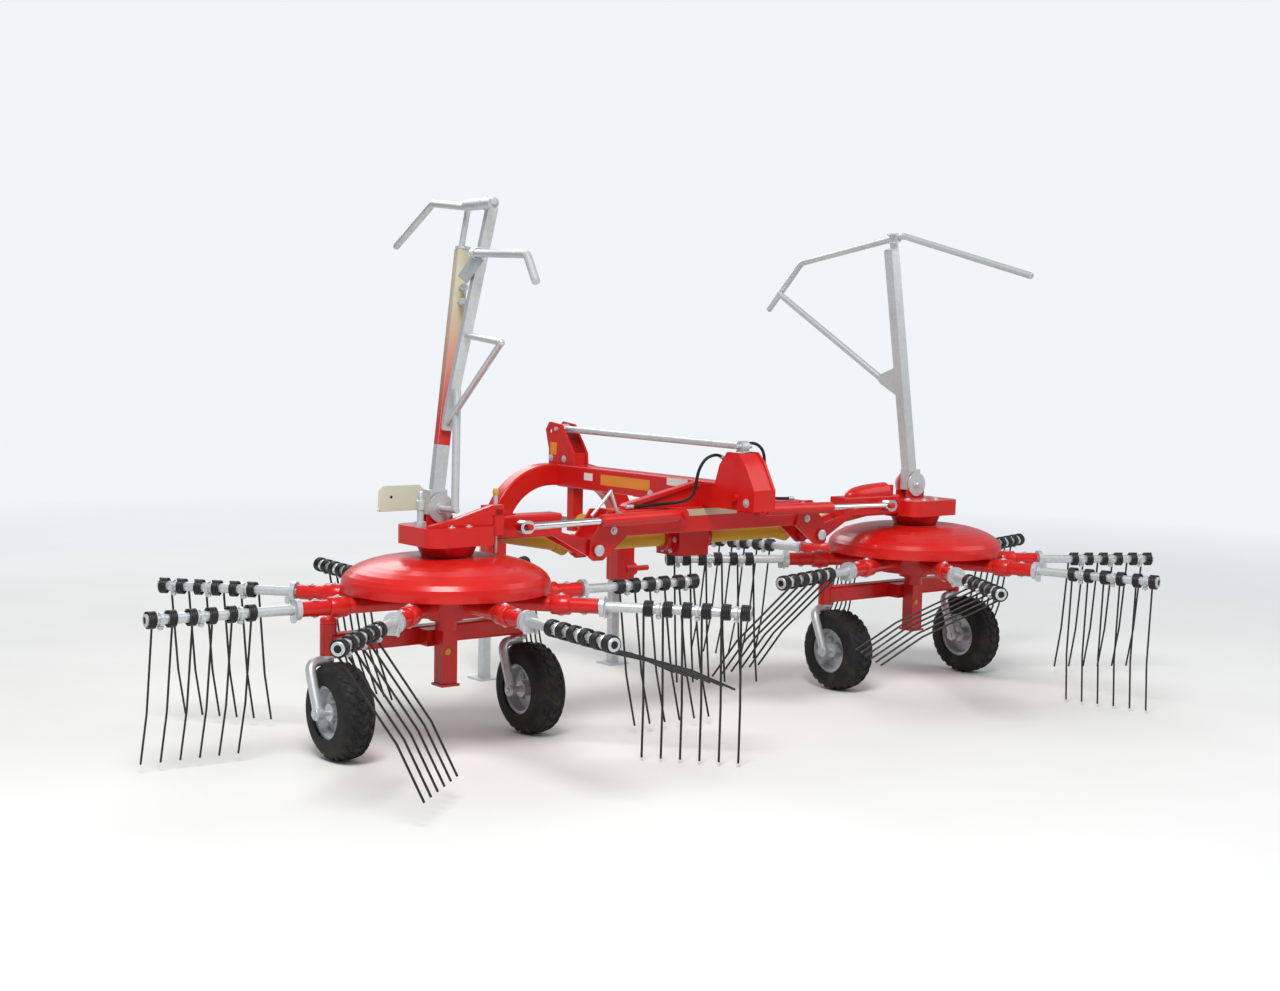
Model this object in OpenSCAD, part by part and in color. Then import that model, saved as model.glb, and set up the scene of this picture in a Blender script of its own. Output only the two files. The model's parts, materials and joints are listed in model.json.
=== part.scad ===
// Twin-rotor hay rake carried on a three-point linkage.
// Axes: +X to the right, +Y the way it travels, +Z up.
// The origin is on the input shaft, at the front of the machine.
// Each sub-part is drawn from the ground up, about the middle of the
// rotor line, and seat() moves it to the origin.

/* [Layout] */
// Distance between the two rotor axes
rotor_spacing = 2720; // [2700:10:2900]
// Distance of each fold hinge from the middle
hinge_x = 650; // [630:5:670]
// Height of the fold hinges and of the cross shafts
hinge_z = 780; // [770:5:785]
// Distance of the headstock in front of the rotor line
stock_y = 1120; // [1100:10:1160]
// How far the rotors of the left side are turned
phase_left = 4; // [-20:1:20]
// How far the rotors of the right side are turned
phase_right = 16; // [0:0.5:40]

/* [Frame] */
// Side of the square cross beam
cross_size = 115; // [110:1:120]
// Underside of the cross beam above the ground
cross_z = 830; // [826:1:840]
// Distance from the middle to the end of the cross beam
cross_end = 555; // [520:5:560]
// Width of the folding arms
arm_w = 100; // [90:1:104]
// Height of the folding arms
arm_h = 95; // [85:1:100]
// Width of the long middle beam
spine_w = 100; // [80:1:110]
// Height of the long middle beam
spine_h = 110; // [90:1:120]
// Depth of the headstock's arch section, front to back
arch_d = 80; // [60:1:90]
// Thickness of the headstock's arch section
arch_t = 105; // [90:1:115]
// Radius of the arch's corners, at the middle of the section
arch_r = 310; // [280:5:330]
// Half the width of the arch, to the middle of its legs
arch_x = 395; // [385:1:405]
// Lower end of the arch's legs
arch_foot_z = 440; // [420:5:470]
// Thickness of the plates
plate_t = 12; // [10:1:14]

/* [Hitch] */
// Height of the lower link pins
lower_z = 500; // [480:5:520]
// Distance of the lower link pins behind the middle of the arch's legs
lower_back = 14; // [8:1:18]
// Radius of the lower link pins
lower_pin_r = 14; // [11:0.1:18]
// Free length of the lower link pins
lower_pin_len = 90; // [60:1:110]
// Radius of the top link hole
top_hole_r = 12.8; // [9:0.1:16]
// Height of the top link hole
top_z = 1215; // [1200:5:1225]
// Radius of the input shaft
input_r = 17.5; // [15:0.5:22]
// Free length of the input shaft
input_len = 90; // [60:1:110]

/* [Fold cylinders] */
// Distance of the barrel pin from the middle
barrel_pin_x = 230; // [220:5:250]
// Height of the barrel pin
barrel_pin_z = 930; // [915:1:935]
// Distance of the rod pin from the middle
rod_pin_x = 1050; // [1040:5:1070]
// Height of the rod pin
rod_pin_z = 905; // [895:1:912]
// Radius of the barrel
barrel_r = 27; // [22:1:28]
// Radius of the rod
ram_r = 15; // [12:0.5:17]
// Length of the barrel from its pin
barrel_len = 440; // [420:5:450]
// Radius of the cylinder pins
ram_pin_r = 12.5; // [10:0.5:14]

/* [Rotors] */
// Number of tine arms on a rotor
arm_count = 8; // [6:1:10]
// Height of the tine arms
tine_arm_z = 615; // [600:1:625]
// Length of a tine arm from the rotor axis
tine_arm_reach = 1250; // [1220:5:1265]
// Radius of a tine arm's tube
tine_tube_r = 20; // [16:0.5:21]
// Radius of the sockets that hold the tine arms
socket_r = 31; // [29:0.5:34]
// Length of the sockets from the rotor axis
socket_reach = 635; // [560:5:660]
// Outer radius of the dome
dome_r = 425; // [400:5:440]
// Top of the dome
dome_top_z = 792; // [780:1:795]
// Rim of the dome
dome_rim_z = 655; // [650:1:665]
// Thickness of the dome's wall
dome_t = 6; // [4:0.5:10]
// Radius of the fixed column
column_r = 45; // [35:1:50]

/* [Tines] */
// Tine pairs on an arm
pair_count = 3; // [2:1:3]
// Distance between two tines
tine_pitch = 78; // [72:1:80]
// Distance of the outermost tine from the end of its arm
tine_inset = 22; // [21:1:30]
// Radius of the tine wire
wire_r = 4.75; // [4:0.25:6]
// Outer radius of a coil
coil_r = 34; // [30:0.5:38]
// Width of a coil
coil_w = 42; // [30:1:50]
// Length of a tine below its bend
tip_len = 220; // [150:5:300]
// Angle of the bend in a tine
tip_bend = 9; // [0:1:15]
// Clearance of the lowest tips above the ground
tip_clear = 8; // [6:1:40]

/* [Running gear] */
// Distance of each wheel's swivel from the rotor axis
swivel_x = 455; // [440:5:470]
// Distance of the swivels in front of the rotor axis
swivel_y = 150; // [130:5:160]
// Trail of the wheels behind their swivels
trail = 100; // [80:5:120]
// Tyre diameter
tyre_d = 390; // [360:5:400]
// Tyre width
tyre_w = 145; // [120:1:150]
// Rim diameter
rim_d = 215; // [190:1:230]
// Radius of the wheel axles
axle_r = 12.5; // [10:0.5:15]
// Side of the square axle beam
axle_beam = 75; // [60:1:80]
// Underside of the axle beam
axle_beam_z = 415; // [412:1:425]
// Side of the square post under a rotor
post_w = 68; // [60:1:90]
// Radius of the swivel sleeves
sleeve_r = 34; // [30:1:38]
// Radius of the swivel stems
stem_r = 18; // [14:0.5:20]

/* [Guards] */
// Side of the square guard masts
mast_w = 52; // [44:1:60]
// Length of the right guard mast
mast_len = 1160; // [1130:5:1175]
// Length of the left guard mast
mast_left_len = 1050; // [1020:5:1080]
// Side of the pole that carries the left guard bow
pole_w = 40; // [36:1:48]
// Inward lean of the left guard mast
lean_left = 6.5; // [0:0.5:10]
// Inward lean of the right guard mast
lean_right = 9; // [0:0.5:10]
// How far the left guard is turned about its mast
guard_turn = 14; // [0:1:18]
// Distance of the guard hinges in front of the rotor axis
guard_y = 60; // [40:5:80]
// Height of the guard hinge
guard_z = 985; // [980:1:995]
// Radius of the guard tubes
bow_r = 15.5; // [13:0.5:18]

/* [Stands] */
// Side of the parking stands' square legs
stand_w = 44; // [36:1:50]
// Foot plate of a stand
foot_w = 120; // [100:5:140]

/* [Fit] */
// Running clearance of pins and shafts, at the radius
run_fit = 0.05; // [0.02:0.01:0.08]
// Clearance between seated pieces
seat_gap = 0.3; // [0.2:0.05:0.5]

/* [Hidden] */
$fn = 48;

RED = "#c8160f";
STEEL = "#b9bdc0";
BLACK = "#161616";
YELLOW = "#d9a514";

rotor_x = rotor_spacing / 2;
tine_start = tine_arm_reach - tine_inset - (2 * pair_count - 1) * tine_pitch;
shaft_y = 150;                       // cross shafts run in front of the beam
input_y = stock_y + 20;              // middle of the input shaft
spine_z = cross_z + cross_size;      // underside of the long beam
spine_top = spine_z + spine_h;
spine_back = -340;
arm_z = cross_z + cross_size - arm_h;
arm_in = hinge_x + 175;              // folds over the end of the cross beam
cheek_y = cross_size / 2;
lug_y = arm_w / 2 - 10;
ram_y = -(cheek_y + plate_t + barrel_r + 20);
head_w = 330;
head_d = 300;
head_z = 842;
head_top = 917;
head_in = rotor_x - head_w / 2;
hub_r = 190;
hub_z = 560;
guard_x = rotor_x + 20;
guard_pin_r = 12;
axle_z = tyre_d / 2;
post_z = 270;
coil_in = tine_tube_r + seat_gap;
leg_y = coil_r - wire_r;
leg_x = coil_w / 2 - wire_r;
shaft_in_y = 88;                     // where the side shafts enter the heads
slot = 13;                           // free travel of the rods' open eyes
stand_y = stock_y + arch_d / 2;

// Roll of each tine arm, from the arm that points outwards and on round,
// as its cam sets it. Zero hangs down, and a positive roll trails.
roll_left = [-10, -10, -10, -10, -10, 5, 75, 36, -10, -10];
roll_right = [-10, -10, -10, -10, 45, 65, 5, -10, -10, -10];

// Guard bow of each side: [distance in front of the mast, height up it]
bow_right = [[975, 865], [857, 965], [691, 1106], [-47, 1223], [-822, 1020]];
bow_left = [[840, 1112], [360, 1262], [-78, 1212], [-430, 1205]];
prong_left = [[-240, 1016], [-860, 975], [-980, 872]];
loop_left = [[-150, 700], [-585, 662], [-50, 345]];
pole_left = [[-30, 320], [-310, 1200]];

function lean(side) = side < 0 ? lean_left : lean_right;
function guard_twist(side) = side < 0 ? guard_turn : 0;

module seat() translate([0, -input_y, -hinge_z]) children();

module on_side(side) mirror([side < 0 ? 1 : 0, 0, 0]) children();

// Round bar from p to q
module bar(p, q, r) {
    v = q - p;
    translate(p) rotate([0, acos(v[2] / norm(v)), atan2(v[1], v[0])])
        cylinder(r = r, h = norm(v));
}

// Round tube along a list of points, with round corners
module bent_tube(points, r) {
    for (i = [0 : len(points) - 2]) bar(points[i], points[i + 1], r);
    for (i = [1 : len(points) - 2]) translate(points[i]) sphere(r = r + 0.6);
}

// Plate of thickness t from x, drawn in Y and Z
module plate_yz(x, t, outline)
    translate([x, 0, 0]) rotate([90, 0, 90]) linear_extrude(t)
        polygon(outline);

// Plate of thickness t from y, drawn in X and Z
module plate_xz(y, t, outline)
    translate([0, y + t, 0]) rotate([90, 0, 0]) linear_extrude(t)
        polygon(outline);

// Rectangle with round corners
module soft_rect(w, h, r) {
    square([w - 2 * r, h], center = true);
    square([w, h - 2 * r], center = true);
    for (x = [-1, 1], y = [-1, 1])
        translate([x * (w / 2 - r), y * (h / 2 - r)]) circle(r = r);
}

// Box beam along X, from x0 to x1, its underside at z
module beam_x(x0, x1, y, z, w, h)
    translate([x0, y, z + h / 2]) rotate([90, 0, 90])
        linear_extrude(x1 - x0) soft_rect(w, h, 9);

// Cylinder along Y, from y0 to y1
module pin_y(x, z, y0, y1, r)
    translate([x, y1, z]) rotate([90, 0, 0]) cylinder(r = r, h = y1 - y0);

// Cylinder along X, from x0 to x1
module pin_x(y, z, x0, x1, r)
    translate([x0, y, z]) rotate([0, 90, 0]) cylinder(r = r, h = x1 - x0);

// Headstock: an arch of box section with a lower link pin on each leg
module headstock() color(RED) seat() {
    for (side = [-1, 1]) on_side(side) {
        translate([arch_x - arch_r, stock_y, spine_top - arch_t / 2 - arch_r])
            rotate([90, 0, 0]) rotate_extrude(angle = 90)
                translate([arch_r, 0]) soft_rect(arch_t, arch_d, 9);
        beam_x(-1, arch_x - arch_r, stock_y, spine_top - arch_t, arch_d, arch_t);
        translate([arch_x, stock_y, arch_foot_z])
            linear_extrude(spine_top - arch_t / 2 - arch_r - arch_foot_z)
                soft_rect(arch_t, arch_d, 9);
        pin_x(stock_y - lower_back, lower_z, arch_x,
              arch_x + arch_t / 2 + 12, 34);
        pin_x(stock_y - lower_back, lower_z, arch_x,
              arch_x + arch_t / 2 + 12 + lower_pin_len, lower_pin_r);
        // stand sleeve on the front of the leg
        difference() {
            translate([arch_x, stand_y + stand_w / 2 + 6, arch_foot_z + 90])
                cube([stand_w + 12, stand_w + 12, 180], center = true);
            translate([arch_x, stand_y + stand_w / 2 + 6, arch_foot_z + 90])
                cube([stand_w + 2 * seat_gap, stand_w + 2 * seat_gap, 190],
                     center = true);
        }
    }
}

// Long middle beam from the arch back over the cross beam
module spine_beam() color(RED) seat() {
    difference() {
        translate([0, spine_back, spine_z + spine_h / 2]) rotate([-90, 0, 0])
            linear_extrude(stock_y - arch_d / 2 - spine_back)
                soft_rect(spine_w, spine_h, 9);
        pin_x(spine_back + 55, spine_z + 55, -80, 80, 16 + run_fit);
    }
    // hanger that carries the input shaft's bearing
    difference() {
        plate_yz(-30, 60, [[stock_y - 150, spine_z + 2],
            [stock_y - 150, hinge_z - 50], [stock_y - 100, hinge_z - 50],
            [stock_y - 100, spine_z + 2]]);
        translate([0, stock_y - 160, hinge_z]) rotate([-90, 0, 0])
            cylinder(r = input_r + 8 + run_fit, h = 80);
    }
}

// Mast of the headstock, two plates that take the top link
module link_tower() color(RED) seat() {
    for (side = [-1, 1]) on_side(side) difference() {
        plate_yz(34, plate_t, [[stock_y - 170, spine_top],
            [stock_y - 165, spine_top + 60], [stock_y - 60, top_z + 35],
            [stock_y + 40, top_z + 45], [stock_y + 70, top_z + 5],
            [stock_y + 40, spine_top + 70], [stock_y + 40, spine_top]]);
        pin_x(stock_y + 30, top_z, 0, 80, top_hole_r);
        pin_x(stock_y - 25, top_z + 12, 0, 80, 10 + run_fit);
    }
    translate([-34, stock_y - 160, spine_top]) cube([68, plate_t, 60]);
}

// Two tapered plates on the cross beam and the tower behind them
module rear_tower() color(RED) seat() {
    for (side = [-1, 1]) on_side(side)
        plate_yz(spine_w / 2, plate_t, [[-400, spine_z], [-400, spine_z + 92],
            [-335, spine_z + 205], [-285, spine_z + 250],
            [-215, spine_z + 250], [-165, spine_z + 190],
            [-130, spine_z + 88], [60, spine_z + 72], [450, spine_z + 18],
            [450, spine_z]]);
    translate([-spine_w / 2, -400, spine_z]) cube([spine_w, plate_t, 92]);
    pin_x(spine_back + 55, spine_z + 55, -80, 80, 16);
}

// Adjustable tie rod between the two towers
module tie_rod() color(STEEL) seat() {
    rear = [0, -250, spine_z + 275];
    front = [0, stock_y - 25, top_z + 12];
    u = (front - rear) / norm(front - rear);
    bar(rear + 20 * u, front - 20 * u, 16);
    for (p = [rear, front]) translate(p) rotate([0, 90, 0])
        cylinder(r = 24, h = 40, center = true);
    translate(rear) rotate([0, 90, 0]) cylinder(r = 10, h = 90, center = true);
    translate(front) rotate([0, 90, 0])
        cylinder(r = 10, h = 110, center = true);
    // fork that holds the rear eye
    translate([-20, -275, spine_z + 250]) cube([40, 50, 6]);
}

// Cross beam with the fold hinge's cheeks and the barrel pins
module cross_beam() color(RED) seat() {
    beam_x(-cross_end, cross_end, 0, cross_z, cross_size, cross_size);
    for (side = [-1, 1]) on_side(side) {
        for (y = [cheek_y, -cheek_y - plate_t])
            plate_xz(y, plate_t, [[cross_end - 60, cross_z],
                [cross_end - 30, cross_z + cross_size], [cross_end + 40,
                cross_z + cross_size], [hinge_x + 40, hinge_z + 30],
                [hinge_x + 40, hinge_z - 30], [hinge_x + 20, hinge_z - 45],
                [hinge_x - 30, hinge_z - 45]]);
        pin_y(hinge_x, hinge_z, -cheek_y - plate_t - 10,
              cheek_y + plate_t + 10, 16);
        pin_y(barrel_pin_x, barrel_pin_z - 12, ram_y - 34, -cheek_y + 2,
              ram_pin_r);
    }
    // bracket that carries the gearbox in front of the beam
    translate([-90, cheek_y - 1, cross_z + 10]) cube([180, 16, 60]);
}

// Bevel gearbox in the middle, in front of the cross beam
module gearbox() color(BLACK) seat() {
    difference() {
        union() {
            translate([-85, cheek_y + 15, hinge_z - 75])
                cube([170, shaft_y + 73 - cheek_y, 165]);
            pin_x(shaft_y, hinge_z, -130, 130, 52);
            pin_x(shaft_y, hinge_z, -99, 99, 66);
            translate([0, shaft_y + 73, hinge_z]) rotate([-90, 0, 0])
                cylinder(r = 68, h = 14);
            for (x = [-70, 60]) translate([x, cheek_y + 15, hinge_z + 88])
                cube([10, 130, 14]);
            translate([0, shaft_y + 50, hinge_z]) rotate([-90, 0, 0])
                cylinder(r = 52, h = 80);
        }
        pin_x(shaft_y, hinge_z, 100, 140, 20);
        pin_x(shaft_y, hinge_z, -140, -100, 20);
    }
}

// Input shaft and its long drive shaft
module input_shaft() color(STEEL) seat() {
    translate([0, input_y - input_len / 2, hinge_z]) rotate([-90, 0, 0])
        cylinder(r = input_r, h = input_len);
    translate([0, shaft_y + 130, hinge_z]) rotate([-90, 0, 0])
        cylinder(r = input_r + 8,
                 h = input_y - input_len / 2 - shaft_y - 130);
}

// Plastic guards of the fixed shafts
module shaft_guards() color(YELLOW) seat() {
    for (side = [-1, 1]) on_side(side) {
        pin_x(shaft_y, hinge_z, 130, hinge_x - 88, 32);
        translate([hinge_x - 89, shaft_y, hinge_z]) rotate([0, 90, 0])
            cylinder(r1 = 34, r2 = 48, h = 60);
    }
    difference() {
        translate([0, shaft_y + 150, hinge_z]) rotate([-90, 0, 0])
            cylinder(r = 38, h = 640);
        translate([0, shaft_y + 140, hinge_z]) rotate([-90, 0, 0])
            cylinder(r = input_r + 8 + seat_gap, h = 660);
    }
}

// Bent lever that locks the folded arms
module lock_lever() color(STEEL) seat() {
    bent_tube([for (p = [[-690, 100], [-590, 200], [-545, 85]])
        [p[0], -cheek_y - plate_t - 7 - seat_gap, cross_z + p[1]]], 7);
}

// Parking stand: a square leg with a foot plate
module stand(side) color(STEEL) seat() on_side(side)
    translate([arch_x, stand_y + stand_w / 2 + 6, 0]) {
        translate([-stand_w / 2, -stand_w / 2, 8])
            cube([stand_w, stand_w, arch_foot_z + 250]);
        translate([-foot_w / 2, -foot_w / 2, 0]) cube([foot_w, foot_w, 8]);
    }

// Hose looped over the rear tower, along its own points
function ring_frame(a, b) = let (t = (b - a) / norm(b - a),
    n = cross(t, [0, 0.2, 1]), u = n / norm(n)) [u, cross(u, t)];
module sweep(points, r) {
    count = len(points);
    sides = 8;
    rings = [for (i = [0 : count - 1])
        let (f = ring_frame(points[max(i - 1, 0)],
                            points[min(i + 1, count - 1)]))
        for (k = [0 : sides - 1]) points[i]
            + r * (cos(k * 360 / sides) * f[0] + sin(k * 360 / sides) * f[1])];
    walls = [for (i = [0 : count - 2], k = [0 : sides - 1])
        let (a = i * sides + k, b = i * sides + (k + 1) % sides)
        [a, a + sides, b + sides, b]];
    polyhedron(rings, concat(walls,
        [[for (k = [0 : sides - 1]) k]],
        [[for (k = [sides - 1 : -1 : 0]) (count - 1) * sides + k]]));
}
hose_r = 7;
hose_left_route = [[-40, -180, 1160], [-90, -180, 1180], [-140, -170, 1165],
    [-170, -160, 1120], [-180, -150, 1060], [-185, -140, 1010],
    [-200, -120, 985], [-230, -95, 972], [-270, -75, 966],
    [-320, -62, 962], [-400, -52, 958], [-480, -48, 956]];
hose_right_route = [[30, -200, 1205], [80, -200, 1228], [130, -195, 1222],
    [175, -185, 1190], [200, -170, 1130], [210, -150, 1060],
    [225, -125, 1010], [260, -95, 980], [310, -70, 968],
    [370, -58, 962], [430, -52, 958], [490, -48, 956]];
module hose(route) color(BLACK) seat() sweep(route, hose_r);

// Folding arm with its hinge lugs
module arm(side) color(RED) seat() on_side(side) {
    beam_x(arm_in, head_in, 0, arm_z, arm_w, arm_h);
    for (y = [lug_y, -lug_y - plate_t]) difference() {
        plate_xz(y, plate_t, [[hinge_x - 36, hinge_z], [hinge_x - 20,
            hinge_z - 34], [hinge_x + 20, hinge_z - 34],
            [arm_in + 60, arm_z + 10], [arm_in + 110, arm_z + 40],
            [arm_in + 60, arm_z + 60], [arm_in, hinge_z + 84],
            [hinge_x + 40, hinge_z + 50], [hinge_x - 10, hinge_z + 36]]);
        pin_y(hinge_x, hinge_z, -90, 90, 16 + run_fit);
    }
    // lug and pin for the cylinder's rod
    pin_y(rod_pin_x, rod_pin_z, ram_y - 34, -arm_w / 2 + 2, ram_pin_r);
    // sloping top plate that stiffens the joint with the head
    plate_xz(-6, 12, [[head_in - 170, arm_z + arm_h - 1],
        [head_in - 60, arm_z + arm_h + 46], [head_in, arm_z + arm_h + 46],
        [head_in, arm_z + arm_h - 1]]);
}

// Rotor head: housing, neck and the fixed column through the rotor
module head(side) color(RED) seat() on_side(side) {
    translate([rotor_x, 0, head_z]) linear_extrude(head_top - head_z)
        soft_rect(head_w, head_d, 60);
    translate([rotor_x, 0, dome_top_z + 4])
        cylinder(r1 = 105, r2 = 125, h = head_z - dome_top_z - 4);
    translate([rotor_x, 0, axle_beam_z + axle_beam])
        cylinder(r = column_r, h = head_z - axle_beam_z - axle_beam);
    translate([rotor_x, 0, hub_z - 30]) cylinder(r = 70, h = 30 - seat_gap);
    // guard hinge ears
    for (y = [-1, 1]) difference() {
        union() {
            translate([guard_x - 60, guard_y + y * (mast_w / 2 + 8) - 5,
                       head_top]) cube([120, 10, guard_z - head_top - 30]);
            pin_y(guard_x, guard_z, guard_y + y * (mast_w / 2 + 8) - 5,
                  guard_y + y * (mast_w / 2 + 8) + 5, 50);
        }
        pin_y(guard_x, guard_z, guard_y - 90, guard_y + 90,
              guard_pin_r + run_fit);
    }
}

// Drive shaft on the folding arm, from the fold hinge up to the head
module drive(side) color(YELLOW) seat() on_side(side) {
    lower = [hinge_x, shaft_y, hinge_z];
    upper = [head_in, shaft_in_y, head_z + 36];
    u = (upper - lower) / norm(upper - lower);
    difference() {
        bar(lower + 70 * u, upper + 20 * u, 32);
        translate([head_in, 0, head_z - 60]) cube([90, 200, 200]);
    }
    translate(lower + 29 * u) rotate([0, acos(u[2]), atan2(u[1], u[0])])
        cylinder(r1 = 48, r2 = 34, h = 60);
}

// Turning bell: the dome, its hub and the sockets of the tine arms
module bell(side) color(RED) seat() on_side(side) translate([rotor_x, 0, 0]) {
    difference() {
        union() {
            rotate_extrude() polygon(concat([[column_r + run_fit, dome_top_z],
                [150, dome_top_z]], dome_curve(dome_r, dome_top_z),
                [[dome_r, dome_rim_z], [dome_r - dome_t, dome_rim_z]],
                [for (i = [len(dome_curve(1, 1)) - 1 : -1 : 0])
                    dome_curve(dome_r, dome_top_z)[i]
                        - [dome_t, dome_t]],
                [[150, dome_top_z - dome_t],
                 [column_r + run_fit, dome_top_z - dome_t]]));
            rotate_extrude() polygon([[column_r + run_fit, hub_z],
                [hub_r, hub_z], [hub_r, dome_rim_z + 10],
                [hub_r - 40, dome_rim_z + 40], [90, dome_rim_z + 60],
                [90, dome_top_z - dome_t + 1],
                [column_r + run_fit, dome_top_z - dome_t + 1]]);
            for (i = [0 : arm_count - 1]) rotate(turn(side, i))
                pin_x(0, tine_arm_z, hub_r - 20, socket_reach, socket_r);
        }
        for (i = [0 : arm_count - 1]) rotate(turn(side, i))
            pin_x(0, tine_arm_z, socket_reach - 120, socket_reach + 10,
                  tine_tube_r + seat_gap);
    }
}

// Outer points of the dome, a flat crown that falls away to the rim
function dome_curve(r, top) = [for (a = [80 : -10 : 0])
    [150 + (r - 150) * cos(a), dome_rim_z + 30
        + (top - dome_rim_z - 30) * sin(a)]];

function turn(side, i) = (side < 0 ? phase_left : phase_right)
    + i * 360 / arm_count;
function roll(side, i) = (side < 0 ? roll_left : roll_right)[i];

// Galvanized tubes of the tine arms
module tine_arms(side) color(STEEL) seat() on_side(side)
    translate([rotor_x, 0, 0])
        for (i = [0 : arm_count - 1]) rotate(turn(side, i)) {
            pin_x(0, tine_arm_z, socket_reach - 115, tine_arm_reach,
                  tine_tube_r);
            pin_x(0, tine_arm_z, socket_reach + 6, socket_reach + 26, 42);
        }

// Sprung tines in pairs: two coils on the arm, a clip and two legs
module tines(side) color(BLACK) seat() on_side(side)
    translate([rotor_x, 0, tine_arm_z])
        for (i = [0 : arm_count - 1]) rotate(turn(side, i))
            rotate([-roll(side, i), 0, 0])
                for (k = [0 : pair_count - 1])
                    translate([tine_start + 2 * k * tine_pitch, 0, 0])
                        tine_pair(roll(side, i));

module tine_pair(roll) {
    reach = tine_arm_z - tip_clear - wire_r - 6;
    drop = min(reach / cos(roll), 600);
    for (x = [0, tine_pitch]) {
        translate([x - coil_w / 2, 0, 0]) rotate([90, 0, 90])
            linear_extrude(coil_w) difference() {
                circle(r = coil_r);
                circle(r = coil_in);
            }
        translate([x - leg_x, leg_y, -drop + tip_len])
            cylinder(r = wire_r, h = drop - tip_len, $fn = 8);
        translate([x - leg_x, leg_y, -drop + tip_len + 3])
            rotate([180 - tip_bend, 0, 0])
            cylinder(r = wire_r, h = tip_len, $fn = 8);
    }
    translate([coil_w / 2 - 1, -9, coil_r - 13])
        cube([tine_pitch - coil_w + 2, 18, 12]);
}

// Axle beam under a rotor, with its post and the swivel sleeves
module axle_beam(side) color(RED) seat() on_side(side)
    translate([rotor_x, 0, 0]) {
        difference() {
            union() {
                beam_x(-swivel_x, swivel_x, swivel_y, axle_beam_z, axle_beam,
                       axle_beam);
                translate([-64, 40, axle_beam_z + 4])
                    cube([128, swivel_y - 44, axle_beam - 8]);
                translate([-post_w / 2, -post_w / 2, post_z])
                    cube([post_w, post_w,
                          axle_beam_z + axle_beam - post_z]);
                translate([-post_w / 2 - 8, -post_w / 2 - 8, post_z - 10])
                    cube([post_w + 16, post_w + 16, 10]);
                for (x = [-1, 1]) translate([x * swivel_x, swivel_y,
                                             axle_beam_z - 10])
                    cylinder(r = sleeve_r, h = axle_beam + 50);
            }
            for (x = [-1, 1]) translate([x * swivel_x, swivel_y, 0])
                cylinder(r = stem_r + run_fit, h = 900);
        }
    }

// Swivel fork with one arm, on the left of its wheel
module fork(side, place) color(STEEL) seat()
    translate([side * rotor_x + side * place * swivel_x, swivel_y, 0]) {
        inner = tyre_w / 2 + 14;
        top = axle_beam_z - 10 - seat_gap;
        translate([0, 0, top - 12]) cylinder(r = sleeve_r, h = 12);
        translate([0, 0, top - 1])
            cylinder(r = stem_r, h = axle_beam + 70);
        translate([-inner - 14, -26, top - 12]) cube([inner + 14, 52, 12]);
        plate_yz(-inner - 14, 14, [[26, top], [-26, top],
            [-trail - 26, axle_z + 10], [-trail - 20, axle_z - 20],
            [-trail + 20, axle_z - 20], [-trail + 26, axle_z + 10],
            [26, top - 60]]);
        pin_x(-trail, axle_z, -inner - 6, tyre_w / 2 - 10, axle_r);
    }

// Tyre as a plain ring with round shoulders
module tyre(side, place) color(BLACK) seat()
    wheel_seat(side, place) rotate_extrude() translate([0, -tyre_w / 2])
        polygon(concat([[rim_d / 2 + seat_gap, 18], [rim_d / 2 + 12, 2]],
            [for (a = [-90 : 15 : 0]) [tyre_d / 2 - 30 + 30 * cos(a),
                32 + 30 * sin(a)]],
            [for (a = [0 : 15 : 90]) [tyre_d / 2 - 30 + 30 * cos(a),
                tyre_w - 32 + 30 * sin(a)]],
            [[rim_d / 2 + 12, tyre_w - 2],
             [rim_d / 2 + seat_gap, tyre_w - 18]]));

module rim(side, place) color(STEEL) seat()
    wheel_seat(side, place) rotate_extrude() polygon([[rim_d / 2 - 14, -tyre_w / 2 + 14],
                [rim_d / 2, -tyre_w / 2 + 14], [rim_d / 2, tyre_w / 2 - 14],
                [rim_d / 2 - 14, tyre_w / 2 - 14], [rim_d / 2 - 18, 12],
                [34, 22], [34, 50], [axle_r + run_fit, 50],
                [axle_r + run_fit, -50], [34, -50],
                [34, -6], [rim_d / 2 - 18, -14]]);

module wheel_seat(side, place)
    translate([side * rotor_x + side * place * swivel_x,
               swivel_y - trail, axle_z])
        rotate([0, 90, 0]) children();

// Guard mast with its braces and hinge discs, folding outwards
module guard_mast(side) color(STEEL) seat() on_side(side)
    translate([guard_x, guard_y, guard_z]) {
        translate([-40, -mast_w / 2 - 2.5, -28]) cube([80, mast_w + 5, 100]);
        rotate([0, -lean(side), 0]) rotate(guard_twist(side))
            if (side < 0) left_mast(); else right_mast();
        pin_y(0, 0, -mast_w / 2 - 21, mast_w / 2 + 21, guard_pin_r);
        for (y = [-mast_w / 2 - 21.5, mast_w / 2 + 13.5])
            pin_y(0, 0, y, y + 8, 58);
        if (side < 0) pin_y(0, 0, -168, -mast_w / 2 - 20, guard_pin_r);
    }

// Bar between two points of a guard's plane: [in front, up]
module brace(p, q, x, r) bar([x, p[0], p[1]], [x, q[0], q[1]], r);

module right_mast() {
    translate([0, 0, 30]) linear_extrude(mast_len - 30)
        square(mast_w, center = true);
    brace([0, 430], bow_right[1] - [4, 12], mast_w / 2 - 16 - seat_gap, 16);
    plate_yz(-4, 8, [[20, 590], [175, 535], [150, 500], [20, 430]]);
    // flat that carries the bow
    translate([mast_w / 2 - 8, -25, mast_len - 60]) cube([8, 50, 138]);
}

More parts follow.
